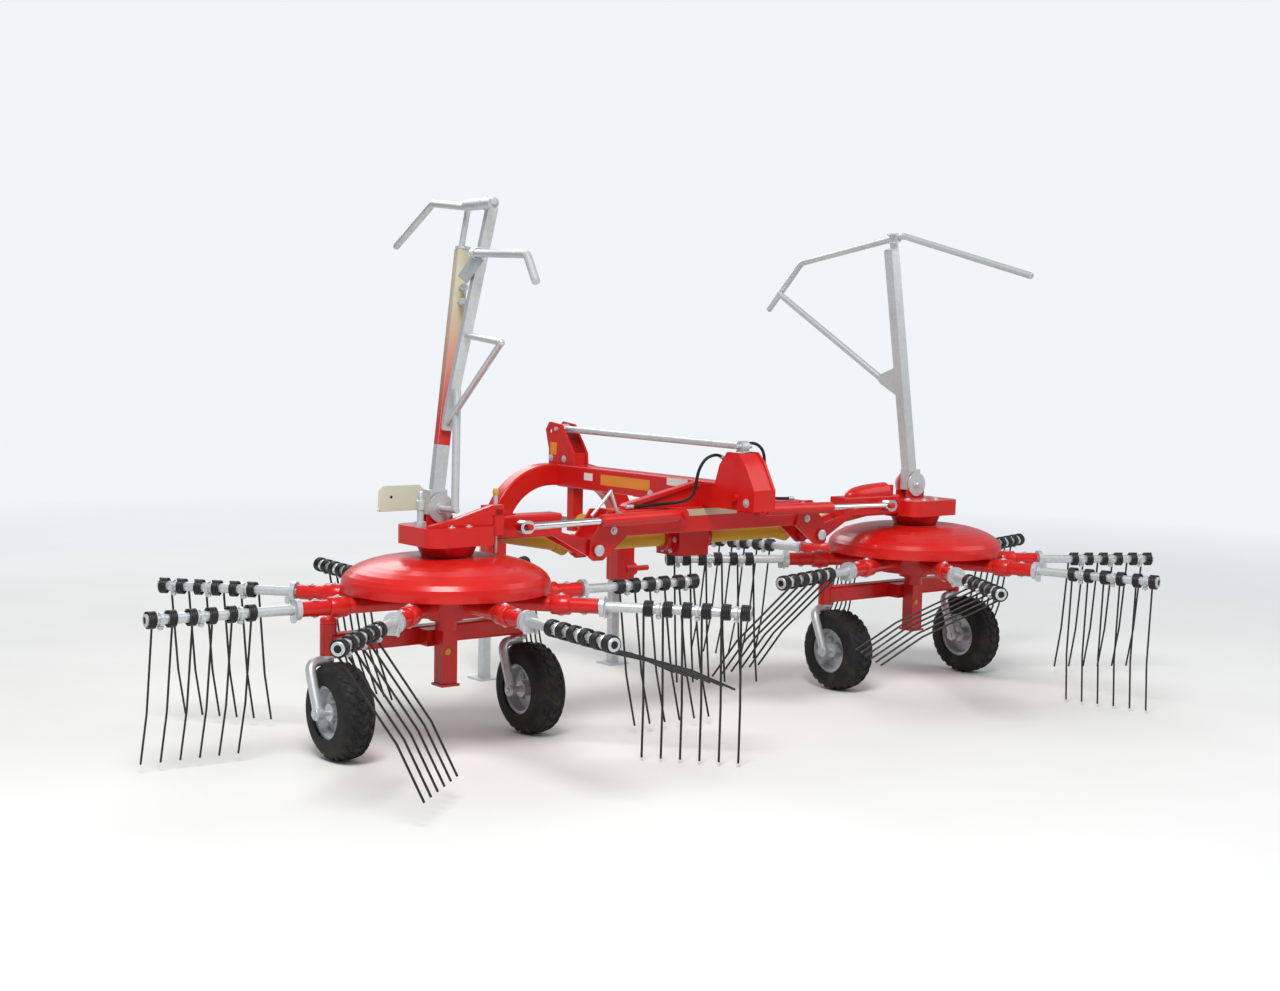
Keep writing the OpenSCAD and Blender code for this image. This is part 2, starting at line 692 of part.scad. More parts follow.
module left_mast() {
    difference() {
        translate([0, 0, 62]) linear_extrude(mast_left_len - 62)
            square(mast_w, center = true);
        translate([0, 0, mast_left_len - 40]) linear_extrude(60)
            square(mast_w - 8, center = true);
    }
    brace([12, mast_left_len - 50], [-40, bow_left[2][1] + 28],
          mast_w / 2 - 19, 12);
    v = pole_left[1] - pole_left[0];
    translate([0, pole_left[0][0], pole_left[0][1]])
        rotate([atan2(-v[0], v[1]), 0, 0])
        translate([-pole_w / 2, -pole_w / 2, 0])
        cube([pole_w, pole_w, norm(v)]);
    bent_tube([for (p = loop_left) [0, p[0], p[1]]], 13);
    bar([0, -120, 480], [-150 * sin(guard_turn), -150 * cos(guard_turn), 0], 16);
}

// Bent tube on top of a guard mast
module guard_bow(side) color(STEEL) seat() on_side(side)
    translate([guard_x, guard_y, guard_z])
    rotate([0, -lean(side), 0]) rotate(guard_twist(side))
    if (side < 0) {
        bent_tube([for (p = bow_left) [pole_w / 2 + bow_r, p[0], p[1]]], bow_r);
        bent_tube([for (p = prong_left) [pole_w / 2 + bow_r, p[0], p[1]]],
                  bow_r);
    } else bent_tube([for (p = bow_right) [mast_w / 2 + bow_r, p[0], p[1]]],
                     bow_r);

function ram_vector() = [rod_pin_x - barrel_pin_x, 0,
                         rod_pin_z - barrel_pin_z + 12];
module in_ram() {
    v = ram_vector();
    translate([barrel_pin_x, ram_y, barrel_pin_z - 12])
        rotate([0, 90 - atan2(v[2], v[0]), 0]) children();
}
ram_len = norm(ram_vector());

// Barrel of a fold cylinder, along its own axis
module barrel(side) color(RED) seat() on_side(side) in_ram() difference() {
    union() {
        translate([0, 0, 26]) cylinder(r = barrel_r, h = barrel_len - 26);
        rotate([90, 0, 0]) cylinder(r = 26, h = 40, center = true);
        translate([-20, -18, 0]) cube([40, 36, 40]);
    }
    rotate([90, 0, 0]) cylinder(r = ram_pin_r + run_fit, h = 60, center = true);
    translate([0, 0, 60]) cylinder(r = ram_r + run_fit, h = barrel_len);
}

// Rod of a fold cylinder with its slotted eye, the open pivot
module ram(side) color(STEEL) seat() on_side(side) in_ram() {
    translate([0, 0, ram_len - 412]) cylinder(r = ram_r, h = 390);
    translate([0, 0, ram_len]) rotate([90, 0, 0])
        linear_extrude(40, center = true) difference() {
            slot_shape(27);
            slot_shape(ram_pin_r + 1);
        }
}

module slot_shape(r) {
    circle(r = r);
    translate([0, slot]) circle(r = r);
    translate([-r, 0]) square([2 * r, slot]);
}

headstock();
spine_beam();
link_tower();
rear_tower();
tie_rod();
cross_beam();
gearbox();
input_shaft();
shaft_guards();
lock_lever();
stand(-1);  // stand_left
stand(1);  // stand_right
hose(hose_left_route);  // hose_left
hose(hose_right_route);  // hose_right
arm(-1);  // arm_left
head(-1);  // head_left
drive(-1);  // drive_left
bell(-1);  // bell_left
tine_arms(-1);  // tine_arms_left
tines(-1);  // tines_left
axle_beam(-1);  // axle_beam_left
fork(-1, 1);  // outer_fork_left
fork(-1, -1);  // inner_fork_left
tyre(-1, 1);  // outer_tyre_left
tyre(-1, -1);  // inner_tyre_left
rim(-1, 1);  // outer_rim_left
rim(-1, -1);  // inner_rim_left
guard_mast(-1);  // guard_mast_left
guard_bow(-1);  // guard_bow_left
barrel(-1);  // barrel_left
ram(-1);  // ram_left
arm(1);  // arm_right
head(1);  // head_right
drive(1);  // drive_right
bell(1);  // bell_right
tine_arms(1);  // tine_arms_right
tines(1);  // tines_right
axle_beam(1);  // axle_beam_right
fork(1, 1);  // outer_fork_right
fork(1, -1);  // inner_fork_right
tyre(1, 1);  // outer_tyre_right
tyre(1, -1);  // inner_tyre_right
rim(1, 1);  // outer_rim_right
rim(1, -1);  // inner_rim_right
guard_mast(1);  // guard_mast_right
guard_bow(1);  // guard_bow_right
barrel(1);  // barrel_right
ram(1);  // ram_right
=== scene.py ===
"""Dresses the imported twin-rotor hay rake for its picture.

All sizes are in metres. A place is given first in the layout's own axes,
X to the right, Y forward from the rotor line and Z up from the ground, and
Layout.at() carries it into the row frame.
"""
import json
import logging
import math
from dataclasses import dataclass
from enum import Enum
from typing import Optional, Sequence

import bmesh
import bpy
import numpy as np
from mathutils import Matrix, Vector


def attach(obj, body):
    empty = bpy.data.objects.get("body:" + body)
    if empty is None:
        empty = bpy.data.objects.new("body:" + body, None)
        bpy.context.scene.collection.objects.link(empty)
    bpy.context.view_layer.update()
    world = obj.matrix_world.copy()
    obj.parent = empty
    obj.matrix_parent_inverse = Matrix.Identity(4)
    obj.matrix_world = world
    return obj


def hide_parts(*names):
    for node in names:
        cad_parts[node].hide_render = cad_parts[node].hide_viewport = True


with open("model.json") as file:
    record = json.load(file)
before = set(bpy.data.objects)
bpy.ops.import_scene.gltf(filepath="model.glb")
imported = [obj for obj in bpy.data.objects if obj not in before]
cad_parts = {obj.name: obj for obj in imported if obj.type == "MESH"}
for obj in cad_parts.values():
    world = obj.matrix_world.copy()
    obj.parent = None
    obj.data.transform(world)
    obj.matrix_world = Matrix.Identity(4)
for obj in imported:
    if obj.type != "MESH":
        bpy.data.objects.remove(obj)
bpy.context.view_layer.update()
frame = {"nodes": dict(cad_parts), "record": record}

logging.basicConfig(level=logging.INFO, format="%(message)s")
LOG = logging.getLogger("rake")
TAU = 2.0 * math.pi
Socket = bpy.types.NodeSocket


class Side(Enum):
    """The two halves of the machine, with the sign of their X."""

    LEFT = -1
    RIGHT = 1

    @property
    def word(self) -> str:
        """The side's name as the nodes spell it."""
        return self.name.lower()

    @property
    def letter(self) -> str:
        """The side's letter as the bodies spell it."""
        return self.word[0]


class Place(Enum):
    """The two wheels under a rotor, counted from its axis."""

    OUTER = 1
    INNER = -1

    @property
    def word(self) -> str:
        """The place's name as the nodes spell it."""
        return self.name.lower()


@dataclass(frozen=True)
class Layout:
    """Main places of the machine, as the part's source has them."""

    rotor_x: float = 1.36
    rotor_y: float = -1.14
    ground: float = -0.78
    hinge_x: float = 0.65
    hinge_z: float = 0.78
    stock_y: float = 1.12
    cross_size: float = 0.115
    spine_w: float = 0.10
    spine_z: float = 0.945
    spine_top: float = 1.055
    shaft_y: float = 0.15
    head_z: float = 0.842
    head_top: float = 0.917
    swivel_x: float = 0.455
    swivel_y: float = 0.15
    trail: float = 0.10
    axle_z: float = 0.195
    guard_y: float = 0.06
    guard_z: float = 0.985

    def at(self, points: Sequence) -> np.ndarray:
        """Carries layout points into the row frame.

        Args:
            points: one point or an array of them, in metres.

        Returns:
            The same points from the row frame's origin.
        """
        return np.asarray(points, float) + (0.0, self.rotor_y, self.ground)


SITE = Layout()


@dataclass
class Shell:
    """Points and faces of a surface that is still being put together."""

    points: np.ndarray
    faces: list

    def moved(self, turn: np.ndarray, shift: Sequence[float]) -> "Shell":
        """A copy turned by a 3 by 3 matrix and then shifted."""
        turned = self.points @ np.asarray(turn).T
        return Shell(turned + np.asarray(shift, float), self.faces)

    def at(self, shift: Sequence[float]) -> "Shell":
        """A copy that is only shifted."""
        return Shell(self.points + np.asarray(shift, float), self.faces)

    def mirrored(self, side: Side) -> "Shell":
        """A copy with its X times the side's sign."""
        return Shell(self.points * (side.value, 1.0, 1.0), self.faces)


def turn_about(axis: str, degrees: float) -> np.ndarray:
    """Rotation matrix about a coordinate axis, by the right-hand rule."""
    return np.array(Matrix.Rotation(math.radians(degrees), 3, axis))


# Where an outline's X, its Y and its thickness go:
UPRIGHT = turn_about("X", 90)  # right, up and backwards
ALONG = turn_about("Z", 90) @ UPRIGHT  # forward, up and to the right
LEFTWARD = turn_about("Z", -90) @ UPRIGHT  # backwards, up and to the left
BACKWARD = turn_about("Z", 180)  # turns what points forward backwards


def on_side(shells: Sequence[Shell], side: Side) -> list:
    """The shells with their X times the side's sign."""
    return [shell.mirrored(side) for shell in shells]


def grid(points: np.ndarray, round_u: bool = False,
         round_v: bool = False) -> Shell:
    """Quads over a grid of points.

    Row i and column j join to row i + 1 and column j + 1, and a round
    direction joins its last line to its first.

    Args:
        points: array of shape (rows, columns, 3).
        round_u: joins the last row to the first.
        round_v: joins the last column to the first.

    Returns:
        The surface as a shell.
    """
    rows, columns = points.shape[:2]
    index = np.arange(rows * columns).reshape(rows, columns)
    if round_u:
        index = np.vstack([index, index[:1]])
    if round_v:
        index = np.hstack([index, index[:, :1]])
    faces = np.stack([index[:-1, :-1], index[1:, :-1], index[1:, 1:],
                      index[:-1, 1:]], axis=-1).reshape(-1, 4)
    return Shell(points.reshape(-1, 3), faces.tolist())


def joined(shells: Sequence[Shell]) -> Shell:
    """Puts shells together, each one's faces counted on from the last.

    Args:
        shells: the shells to put together.

    Returns:
        One shell that holds all of them, in order.
    """
    faces, start = [], 0
    for shell in shells:
        faces += [[v + start for v in face] for face in shell.faces]
        start += len(shell.points)
    return Shell(np.concatenate([s.points for s in shells]), faces)


def revolved(profile: Sequence, sides: int = 32, axis: str = "Z") -> Shell:
    """A profile of (radius, height) turned about an axis.

    Point (r, h) goes to (r cos a, r sin a, h) for each angle a. The profile
    starts and ends at radius zero, or it is a loop.

    Args:
        profile: pairs of radius and height.
        sides: number of angles.
        axis: the axis that the height lies along.

    Returns:
        A closed shell.
    """
    r, h = np.asarray(profile, float).T
    a = np.linspace(0.0, TAU, sides, endpoint=False)
    points = np.stack([np.outer(np.cos(a), r), np.outer(np.sin(a), r),
                       np.broadcast_to(h, (sides, len(h)))], axis=-1)
    order = {"Z": (0, 1, 2), "X": (2, 0, 1), "Y": (1, 2, 0)}[axis]
    loop = r[0] > 0 and r[-1] > 0
    return grid(points[..., order], True, loop)


def smooth_path(knots: Sequence, per_span: int = 6) -> np.ndarray:
    """Points on a curve through all knots.

    Each span is the cubic whose end slopes are half the chord between the
    neighbouring knots.

    Args:
        knots: the points that the curve goes through.
        per_span: points on each span.

    Returns:
        An array of points.
    """
    p = np.asarray(knots, float)
    p = np.vstack([2 * p[0] - p[1], p, 2 * p[-1] - p[-2]])
    t = np.linspace(0, 1, per_span, endpoint=False)[None, :, None]
    a, b, c, d = (p[i:len(p) - 3 + i][:, None, :] for i in range(4))
    spans = 0.5 * (2 * b + (c - a) * t + (2 * a - 5 * b + 4 * c - d) * t ** 2
                   + (3 * b - a - 3 * c + d) * t ** 3)
    return np.vstack([spans.reshape(-1, 3), p[-2]])


def bent_path(corners: Sequence, radius: float, steps: int = 8) -> np.ndarray:
    """Straight runs whose corners are rounded.

    Each corner becomes the parabola between the points that lie one
    cut-back before and after it, where the cut-back is the bend radius
    times the tangent of half the turn.

    Args:
        corners: the corner points.
        radius: the bend radius at the tube's middle.
        steps: spans on each bend.

    Returns:
        An array of points.
    """
    p = np.asarray(corners, float)
    out = [p[:1]]
    t = np.linspace(0, 1, steps + 1)[:, None]
    for a, b, c in zip(p[:-2], p[1:-1], p[2:]):
        u, v = (a - b) / np.linalg.norm(a - b), (c - b) / np.linalg.norm(c - b)
        half = (math.pi - math.acos(float(np.clip(u @ v, -1, 1)))) / 2
        cut = radius * math.tan(half)
        start, end = b + u * cut, b + v * cut
        out.append((1 - t) ** 2 * start + 2 * t * (1 - t) * b + t ** 2 * end)
    out.append(p[-1:])
    return np.vstack(out)


def tube(path: np.ndarray, radius: float | np.ndarray, sides: int = 12,
         up: Sequence[float] = (0.02, 0.05, 1.0)) -> Shell:
    """A round tube along a path, closed at both ends.

    At each path point a circle lies square to the tangent. Its two axes are
    the cross product of the tangent with a fixed direction, and the cross
    product of that with the tangent.

    Args:
        path: array of points.
        radius: one radius or one for each point.
        sides: points round the tube.
        up: direction that is nowhere along the path.

    Returns:
        A closed shell.
    """
    path = np.asarray(path, float)
    along = np.gradient(path, axis=0)
    along /= np.linalg.norm(along, axis=1, keepdims=True)
    first = np.cross(along, np.asarray(up, float))
    first /= np.linalg.norm(first, axis=1, keepdims=True)
    second = np.cross(first, along)
    a = np.linspace(0, TAU, sides, endpoint=False)
    r = np.broadcast_to(np.asarray(radius, float), (len(path),))
    cos, sin = np.cos(a)[None, :, None], np.sin(a)[None, :, None]
    rings = path[:, None] + r[:, None, None] * (cos * first[:, None]
                                                + sin * second[:, None])
    caps = np.repeat(path[[0, -1]][:, None], sides, axis=1)
    return grid(np.concatenate([caps[:1], rings, caps[1:]]), False, True)


def plate(outline: Sequence, thick: float, edge: float = 0.001) -> Shell:
    """An outline in X and Y given a thickness along Z, with soft edges.

    The rings are the outline drawn in by the edge size at the bottom and
    the top, and the full outline between them. Each end closes on its
    middle, so the outline is seen whole from there.

    Args:
        outline: points of a star-shaped outline.
        thick: thickness along Z.
        edge: size of the bevel.

    Returns:
        A closed shell from Z = 0 to the thickness.
    """
    p = np.asarray(outline, float)
    mid = p.mean(axis=0)
    reach = np.linalg.norm(p - mid, axis=1, keepdims=True)
    small = mid + (p - mid) * (1 - edge / reach)
    flat = [np.repeat(mid[None], len(p), 0), small, p, p, small,
            np.repeat(mid[None], len(p), 0)]
    heights = [0, 0, edge, thick - edge, thick, thick]
    rings = np.stack([np.column_stack([ring, np.full(len(p), z)])
                      for ring, z in zip(flat, heights)])
    return grid(rings, False, True)


def rounded(width: float, height: float, radius: float,
            steps: int = 5) -> np.ndarray:
    """Outline of a rectangle with round corners, about the origin.

    Each corner is a quarter circle about the point that lies the radius
    inside both of its sides.

    Args:
        width: extent along X.
        height: extent along Y.
        radius: radius of the corners.
        steps: points on each corner.

    Returns:
        An array of points, four corners one after another.
    """
    a = np.concatenate([np.linspace(q, q + TAU / 4, steps)
                        for q in (0, TAU / 4, TAU / 2, 3 * TAU / 4)])
    sx = np.repeat([1, -1, -1, 1], steps)
    sy = np.repeat([1, 1, -1, -1], steps)
    return np.column_stack([sx * (width / 2 - radius) + radius * np.cos(a),
                            sy * (height / 2 - radius) + radius * np.sin(a)])


@dataclass(frozen=True)
class Bolt:
    """A hexagon head on its washer, with profiles in shares of its size."""

    size: float = 0.010
    washer: tuple = ((0, 0), (1.9, 0), (1.95, 0.1), (1.9, 0.25), (0, 0.25))
    head: tuple = ((0, 0.2), (0.95, 0.2), (0.98, 0.3), (0.98, 0.75),
                   (0.84, 0.9), (0, 0.9))

    def shell(self, axis: str = "Z", sign: int = 1) -> Shell:
        """The bolt's head, standing on the origin.

        Args:
            axis: direction that the head points along.
            sign: 1 for that direction, -1 for its opposite.

        Returns:
            A closed shell of washer and head.
        """
        both = joined([revolved(self.size * np.array(self.washer), 20),
                       revolved(self.size * np.array(self.head), 6)])
        turn = {"Z": np.eye(3), "X": turn_about("Y", 90),
                "Y": turn_about("X", -90)}[axis]
        flip = np.eye(3) if sign > 0 else turn_about(
            "X" if axis == "Z" else "Z", 180)
        return both.moved(flip @ turn, (0, 0, 0))


class Graph:
    """Short ways to add and link the nodes of one material."""

    def __init__(self, name: str) -> None:
        """Makes an empty node material with its shader.

        Args:
            name: the material's name.
        """
        self.material = bpy.data.materials.new(name)
        self.material.use_nodes = True
        self.tree = self.material.node_tree
        self.shader = self.tree.nodes["Principled BSDF"]
        self.place = self.add("ShaderNodeTexCoord").outputs["Object"]

    def add(self, kind: str, **values: object) -> bpy.types.Node:
        """Adds a node and sets attributes on it.

        Args:
            kind: the node's type.
            values: attribute names and values.

        Returns:
            The new node.
        """
        node = self.tree.nodes.new(kind)
        for key, value in values.items():
            setattr(node, key, value)
        return node

    def put(self, value: object, into: Socket) -> None:
        """Links a socket into an input, or gives the input a plain value.

        Args:
            value: a socket, or a number or colour.
            into: the socket that takes it.
        """
        if isinstance(value, Socket):
            self.tree.links.new(value, into)
        else:
            into.default_value = value

    def shade(self, **values: object) -> None:
        """Puts sockets or values into the shader's inputs.

        Args:
            values: an input's name, with low lines for its spaces, and what
                goes in.
        """
        for name, value in values.items():
            self.put(value, self.shader.inputs[name.replace("_", " ")])

    def noise(self, scale: float, detail: float = 3.0,
              stretch: Sequence[float] = (1, 1, 1)) -> Socket:
        """Noise on the object's own coordinates.

        Args:
            scale: cycles in a metre.
            detail: octaves.
            stretch: scale of each axis before the noise.

        Returns:
            The noise's value socket.
        """
        mapping = self.add("ShaderNodeMapping")
        self.put(stretch, mapping.inputs["Scale"])
        self.put(self.place, mapping.inputs["Vector"])
        noise = self.add("ShaderNodeTexNoise")
        self.put(scale, noise.inputs["Scale"])
        self.put(detail, noise.inputs["Detail"])
        self.put(mapping.outputs["Vector"], noise.inputs["Vector"])
        return noise.outputs["Fac"]

    def ramp(self, value: Socket, low: float, high: float,
             out_low: float = 0.0, out_high: float = 1.0) -> Socket:
        """Maps a range of a value to another range, with its ends held.

        Args:
            value: the incoming socket.
            low: value that gives out_low.
            high: value that gives out_high.
            out_low: result at the low end.
            out_high: result at the high end.

        Returns:
            The mapped socket.
        """
        node = self.add("ShaderNodeMapRange")
        for name, number in (("From Min", low), ("From Max", high),
                             ("To Min", out_low), ("To Max", out_high)):
            self.put(number, node.inputs[name])
        self.put(value, node.inputs["Value"])
        return node.outputs["Result"]

    def times(self, a: Socket, b: object) -> Socket:
        """The product of a socket and a socket or number."""
        return self.math("MULTIPLY", a, b)

    def math(self, kind: str, a: Socket, b: object) -> Socket:
        """One arithmetic step on a socket and a socket or number.

        Args:
            kind: the operation's name in Blender.
            a: the first value.
            b: the second value.

        Returns:
            The socket with the result.
        """
        node = self.add("ShaderNodeMath", operation=kind)
        self.put(a, node.inputs[0])
        self.put(b, node.inputs[1])
        return node.outputs[0]

    def mix(self, share: Socket, a: object, b: object) -> Socket:
        """Mixes two colours, each a socket or three numbers.

        Args:
            share: how much of the second colour shows.
            a: first colour.
            b: second colour.

        Returns:
            The mixed colour's socket.
        """
        node = self.add("ShaderNodeMix", data_type="RGBA")
        self.put(share, node.inputs["Factor"])
        for colour, into in ((a, node.inputs[6]), (b, node.inputs[7])):
            self.put(colour if isinstance(colour, Socket)
                     else (*colour, 1.0), into)
        return node.outputs[2]

    def upward_part(self, vector: Socket) -> Socket:
        """The Z part of a vector."""
        split = self.add("ShaderNodeSeparateXYZ")
        self.put(vector, split.inputs[0])
        return split.outputs["Z"]

    def facing_up(self) -> Socket:
        """The Z part of the surface's normal."""
        geometry = self.add("ShaderNodeNewGeometry")
        return self.upward_part(geometry.outputs["Normal"])

    def height(self) -> Socket:
        """The Z part of the place on the object."""
        return self.upward_part(self.place)

    def bump(self, value: Socket, depth: float, strength: float) -> None:
        """Puts a height value on the shader's normal.

        Args:
            value: the height's socket.
            depth: height in metres of a value of one.
            strength: how much of it shows.
        """
        node = self.add("ShaderNodeBump")
        self.put(strength, node.inputs["Strength"])
        self.put(depth, node.inputs["Distance"])
        self.put(value, node.inputs["Height"])
        self.shade(Normal=node.outputs["Normal"])


DUST = (0.50, 0.37, 0.20)
RUST = (0.20, 0.075, 0.03)


@dataclass(frozen=True)
class Paint:
    """Gloss coat on steel or a moulded part, with dust from the field.

    The scales drift, patch and grain are cycles in a metre, and depth is the
    height of the grain. A foot colour shows at the lower of the two heights
    in fade and has gone at the upper one.
    """

    colour: tuple
    rough: float = 0.28
    coat: float = 0.35
    dust: float = 0.30
    grain: float = 420.0
    depth: float = 0.0004
    foot: tuple = ()
    fade: tuple = (0.55, 1.05)
    drift: float = 5.0
    drift_shade: float = 0.88
    patch: float = 9.0
    dust_top: float = 0.1
    dusty_rough: float = 0.8
    coat_rough: float = 0.12
    specular: float = 0.3

    def build(self, name: str) -> bpy.types.Material:
        """Makes the node material.

        The colour drifts by a few percent over a hand's width. Dust lies in
        noise patches, more on faces that look up and near the ground.

        Args:
            name: the material's name.

        Returns:
            The material.
        """
        g = Graph(name)
        body = g.mix(g.ramp(g.noise(self.drift), 0.3, 0.7),
                     tuple(self.drift_shade * c for c in self.colour),
                     self.colour)
        # A colour that changes with height; the left mast's sleeve uses it to
        # paint a reflection, cream above and red at the foot.
        if self.foot:
            body = g.mix(g.ramp(g.height(), *self.fade), self.foot, body)
        patch = g.ramp(g.noise(self.patch, detail=6.0), 0.42, 0.75)
        up = g.ramp(g.facing_up(), 0.2, 1.0, out_low=0.25)
        low = g.ramp(g.height(), SITE.ground, self.dust_top,
                     out_low=1.0, out_high=0.35)
        share = g.times(g.times(g.times(patch, up), low), self.dust)
        g.shade(Base_Color=g.mix(share, body, DUST),
                Roughness=g.ramp(share, 0.0, 0.4, self.rough,
                                 self.dusty_rough),
                Coat_Weight=self.coat, Coat_Roughness=self.coat_rough,
                Specular_IOR_Level=self.specular)
        g.bump(g.noise(self.grain, detail=2.0), self.depth, 0.25)
        return g.material


@dataclass(frozen=True)
class Zinc:
    """Hot-dip zinc: crystal patches that differ in brightness.

    The scales cells, cloud, stain and grain are cycles in a metre.
    """

    colour: tuple = (0.66, 0.68, 0.69)
    dark: tuple = (0.47, 0.49, 0.50)
    metal: float = 0.6
    rough: float = 0.40
    cells: float = 85.0
    cell_share: float = 0.22
    cloud: float = 3.0
    cloud_share: float = 0.8
    stain: float = 14.0
    stain_share: float = 0.14
    grain: float = 260.0
    depth: float = 0.0005

    def build(self, name: str) -> bpy.types.Material:
        """Makes the node material.

        The brightness is the sum of a share for each cell, about 12 mm
        wide, and of a soft cloud.

        Args:
            name: the material's name.

        Returns:
            The material.
        """
        g = Graph(name)
        cells = g.add("ShaderNodeTexVoronoi")
        g.put(self.cells, cells.inputs["Scale"])
        g.put(g.place, cells.inputs["Vector"])
        split = g.add("ShaderNodeSeparateColor")
        g.put(cells.outputs["Color"], split.inputs[0])
        cloud = g.noise(self.cloud, detail=4.0)
        tone = g.math("ADD", g.times(split.outputs[0], self.cell_share),
                      g.times(cloud, self.cloud_share))
        body = g.mix(g.ramp(tone, 0.15, 0.85), self.dark, self.colour)
        stain = g.ramp(g.noise(self.stain, detail=5.0), 0.58, 0.85,
                       out_high=self.stain_share)
        g.shade(Base_Color=g.mix(stain, body, DUST),
                Roughness=g.ramp(tone, 0.1, 0.9, self.rough + 0.12,
                                 self.rough - 0.08),
                Metallic=self.metal)
        g.bump(g.noise(self.grain), self.depth, 0.2)
        return g.material


@dataclass(frozen=True)
class Steel:
    """Drawn or turned steel with fine lines, bright or blackened.

    The scales lines and spots are cycles in a metre, and the lines are
    stretch times as many across X as along it.
    """

    colour: tuple
    rough: float
    metal: float = 1.0
    rust: float = 0.0
    line_shade: float = 0.8
    lines: float = 30.0
    stretch: float = 22.0
    spots: float = 60.0
    depth: float = 0.0002

    def build(self, name: str) -> bpy.types.Material:
        """Makes the node material.

        Long thin noise gives the lines, and noise spots show rust.

        Args:
            name: the material's name.

        Returns:
            The material.
        """
        g = Graph(name)
        lines = g.noise(self.lines, stretch=(1, self.stretch, self.stretch))
        body = g.mix(g.ramp(lines, 0.3, 0.7),
                     tuple(self.line_shade * c for c in self.colour),
                     self.colour)
        spots = g.ramp(g.noise(self.spots, detail=6.0), 0.55, 0.72,
                       out_high=self.rust)
        g.shade(Base_Color=g.mix(spots, body, RUST),
                Roughness=g.ramp(lines, 0.2, 0.8, self.rough - 0.05,
                                 self.rough + 0.1),
                Metallic=self.metal)
        g.bump(lines, self.depth, 0.15)
        return g.material


@dataclass(frozen=True)
class Rubber:
    """Black rubber, greyed by dust in noise patches.

    The scales patch and grain are cycles in a metre.
    """

    colour: tuple = (0.011, 0.011, 0.012)
    rough: float = 0.62
    dust: float = 0.10
    patch: float = 16.0
    dust_top: float = -0.35
    specular: float = 0.25
    grain: float = 500.0
    depth: float = 0.0005

    def build(self, name: str) -> bpy.types.Material:
        """Makes the node material.

        Dust lies in noise patches, more of it near the ground.

        Args:
            name: the material's name.

        Returns:
            The material.
        """
        g = Graph(name)
        patch = g.ramp(g.noise(self.patch, detail=6.0), 0.45, 0.8)
        low = g.ramp(g.height(), SITE.ground, self.dust_top,
                     out_low=1.0, out_high=0.3)
        share = g.times(g.times(patch, low), self.dust)
        g.shade(Base_Color=g.mix(share, self.colour, DUST),
                Roughness=g.ramp(patch, 0.0, 1.0, self.rough,
                                 self.rough + 0.2),
                Specular_IOR_Level=self.specular)
        g.bump(g.noise(self.grain), self.depth, 0.3)
        return g.material


class Finish(Enum):
    """The record's finishes and a few of the scene's own."""

    RED = "red_paint"
    ZINC = "galvanized"
    BARE = "bare_steel"
    CHROME = "chrome_rod"
    SPRING = "tine_steel"
    TYRE = "tyre_rubber"
    RUBBER = "black_rubber"
    YELLOW = "yellow_plastic"
    LABEL_AMBER = "amber_label"
    LABEL_WHITE = "white_label"
    BLACK_PAINT = "black_paint"
    CREAM = "cream_paint"
    # Painted reflection on the left mast's sleeve, cream above and red at the
    # foot.
    FADE = "fading_paint"
    PALE = "pale_plastic"


RECIPES = {
    Finish.RED: Paint((0.58, 0.009, 0.007), rough=0.28, coat=0.2, dust=0.10),
    Finish.ZINC: Zinc(),
    Finish.BARE: Steel((0.46, 0.46, 0.47), rough=0.33, rust=0.15),
    Finish.CHROME: Steel((0.80, 0.80, 0.82), rough=0.08),
    Finish.SPRING: Steel((0.022, 0.021, 0.022), rough=0.42, metal=0.4,
                         rust=0.1),
    Finish.TYRE: Rubber(),
    Finish.RUBBER: Rubber(rough=0.5, dust=0.06),
    Finish.YELLOW: Paint((0.58, 0.33, 0.02), rough=0.45, coat=0.0, dust=0.45,
                         grain=300.0, depth=0.0006),
    Finish.LABEL_AMBER: Paint((0.75, 0.24, 0.02), rough=0.35, coat=0.2),
    Finish.LABEL_WHITE: Paint((0.72, 0.68, 0.66), rough=0.35, coat=0.2),
    Finish.BLACK_PAINT: Paint((0.022, 0.022, 0.024), rough=0.4, coat=0.2,
                              dust=0.4),
    Finish.CREAM: Paint((0.52, 0.44, 0.31), rough=0.4, coat=0.15, dust=0.2),
    # Painted reflection on the left mast: cream above, red towards the foot.
    Finish.FADE: Paint((0.50, 0.45, 0.32), rough=0.4, coat=0.15, dust=0.1,
                       foot=(0.50, 0.02, 0.015)),
    Finish.PALE: Paint((0.56, 0.57, 0.44), rough=0.45, coat=0.1, dust=0.1),
}


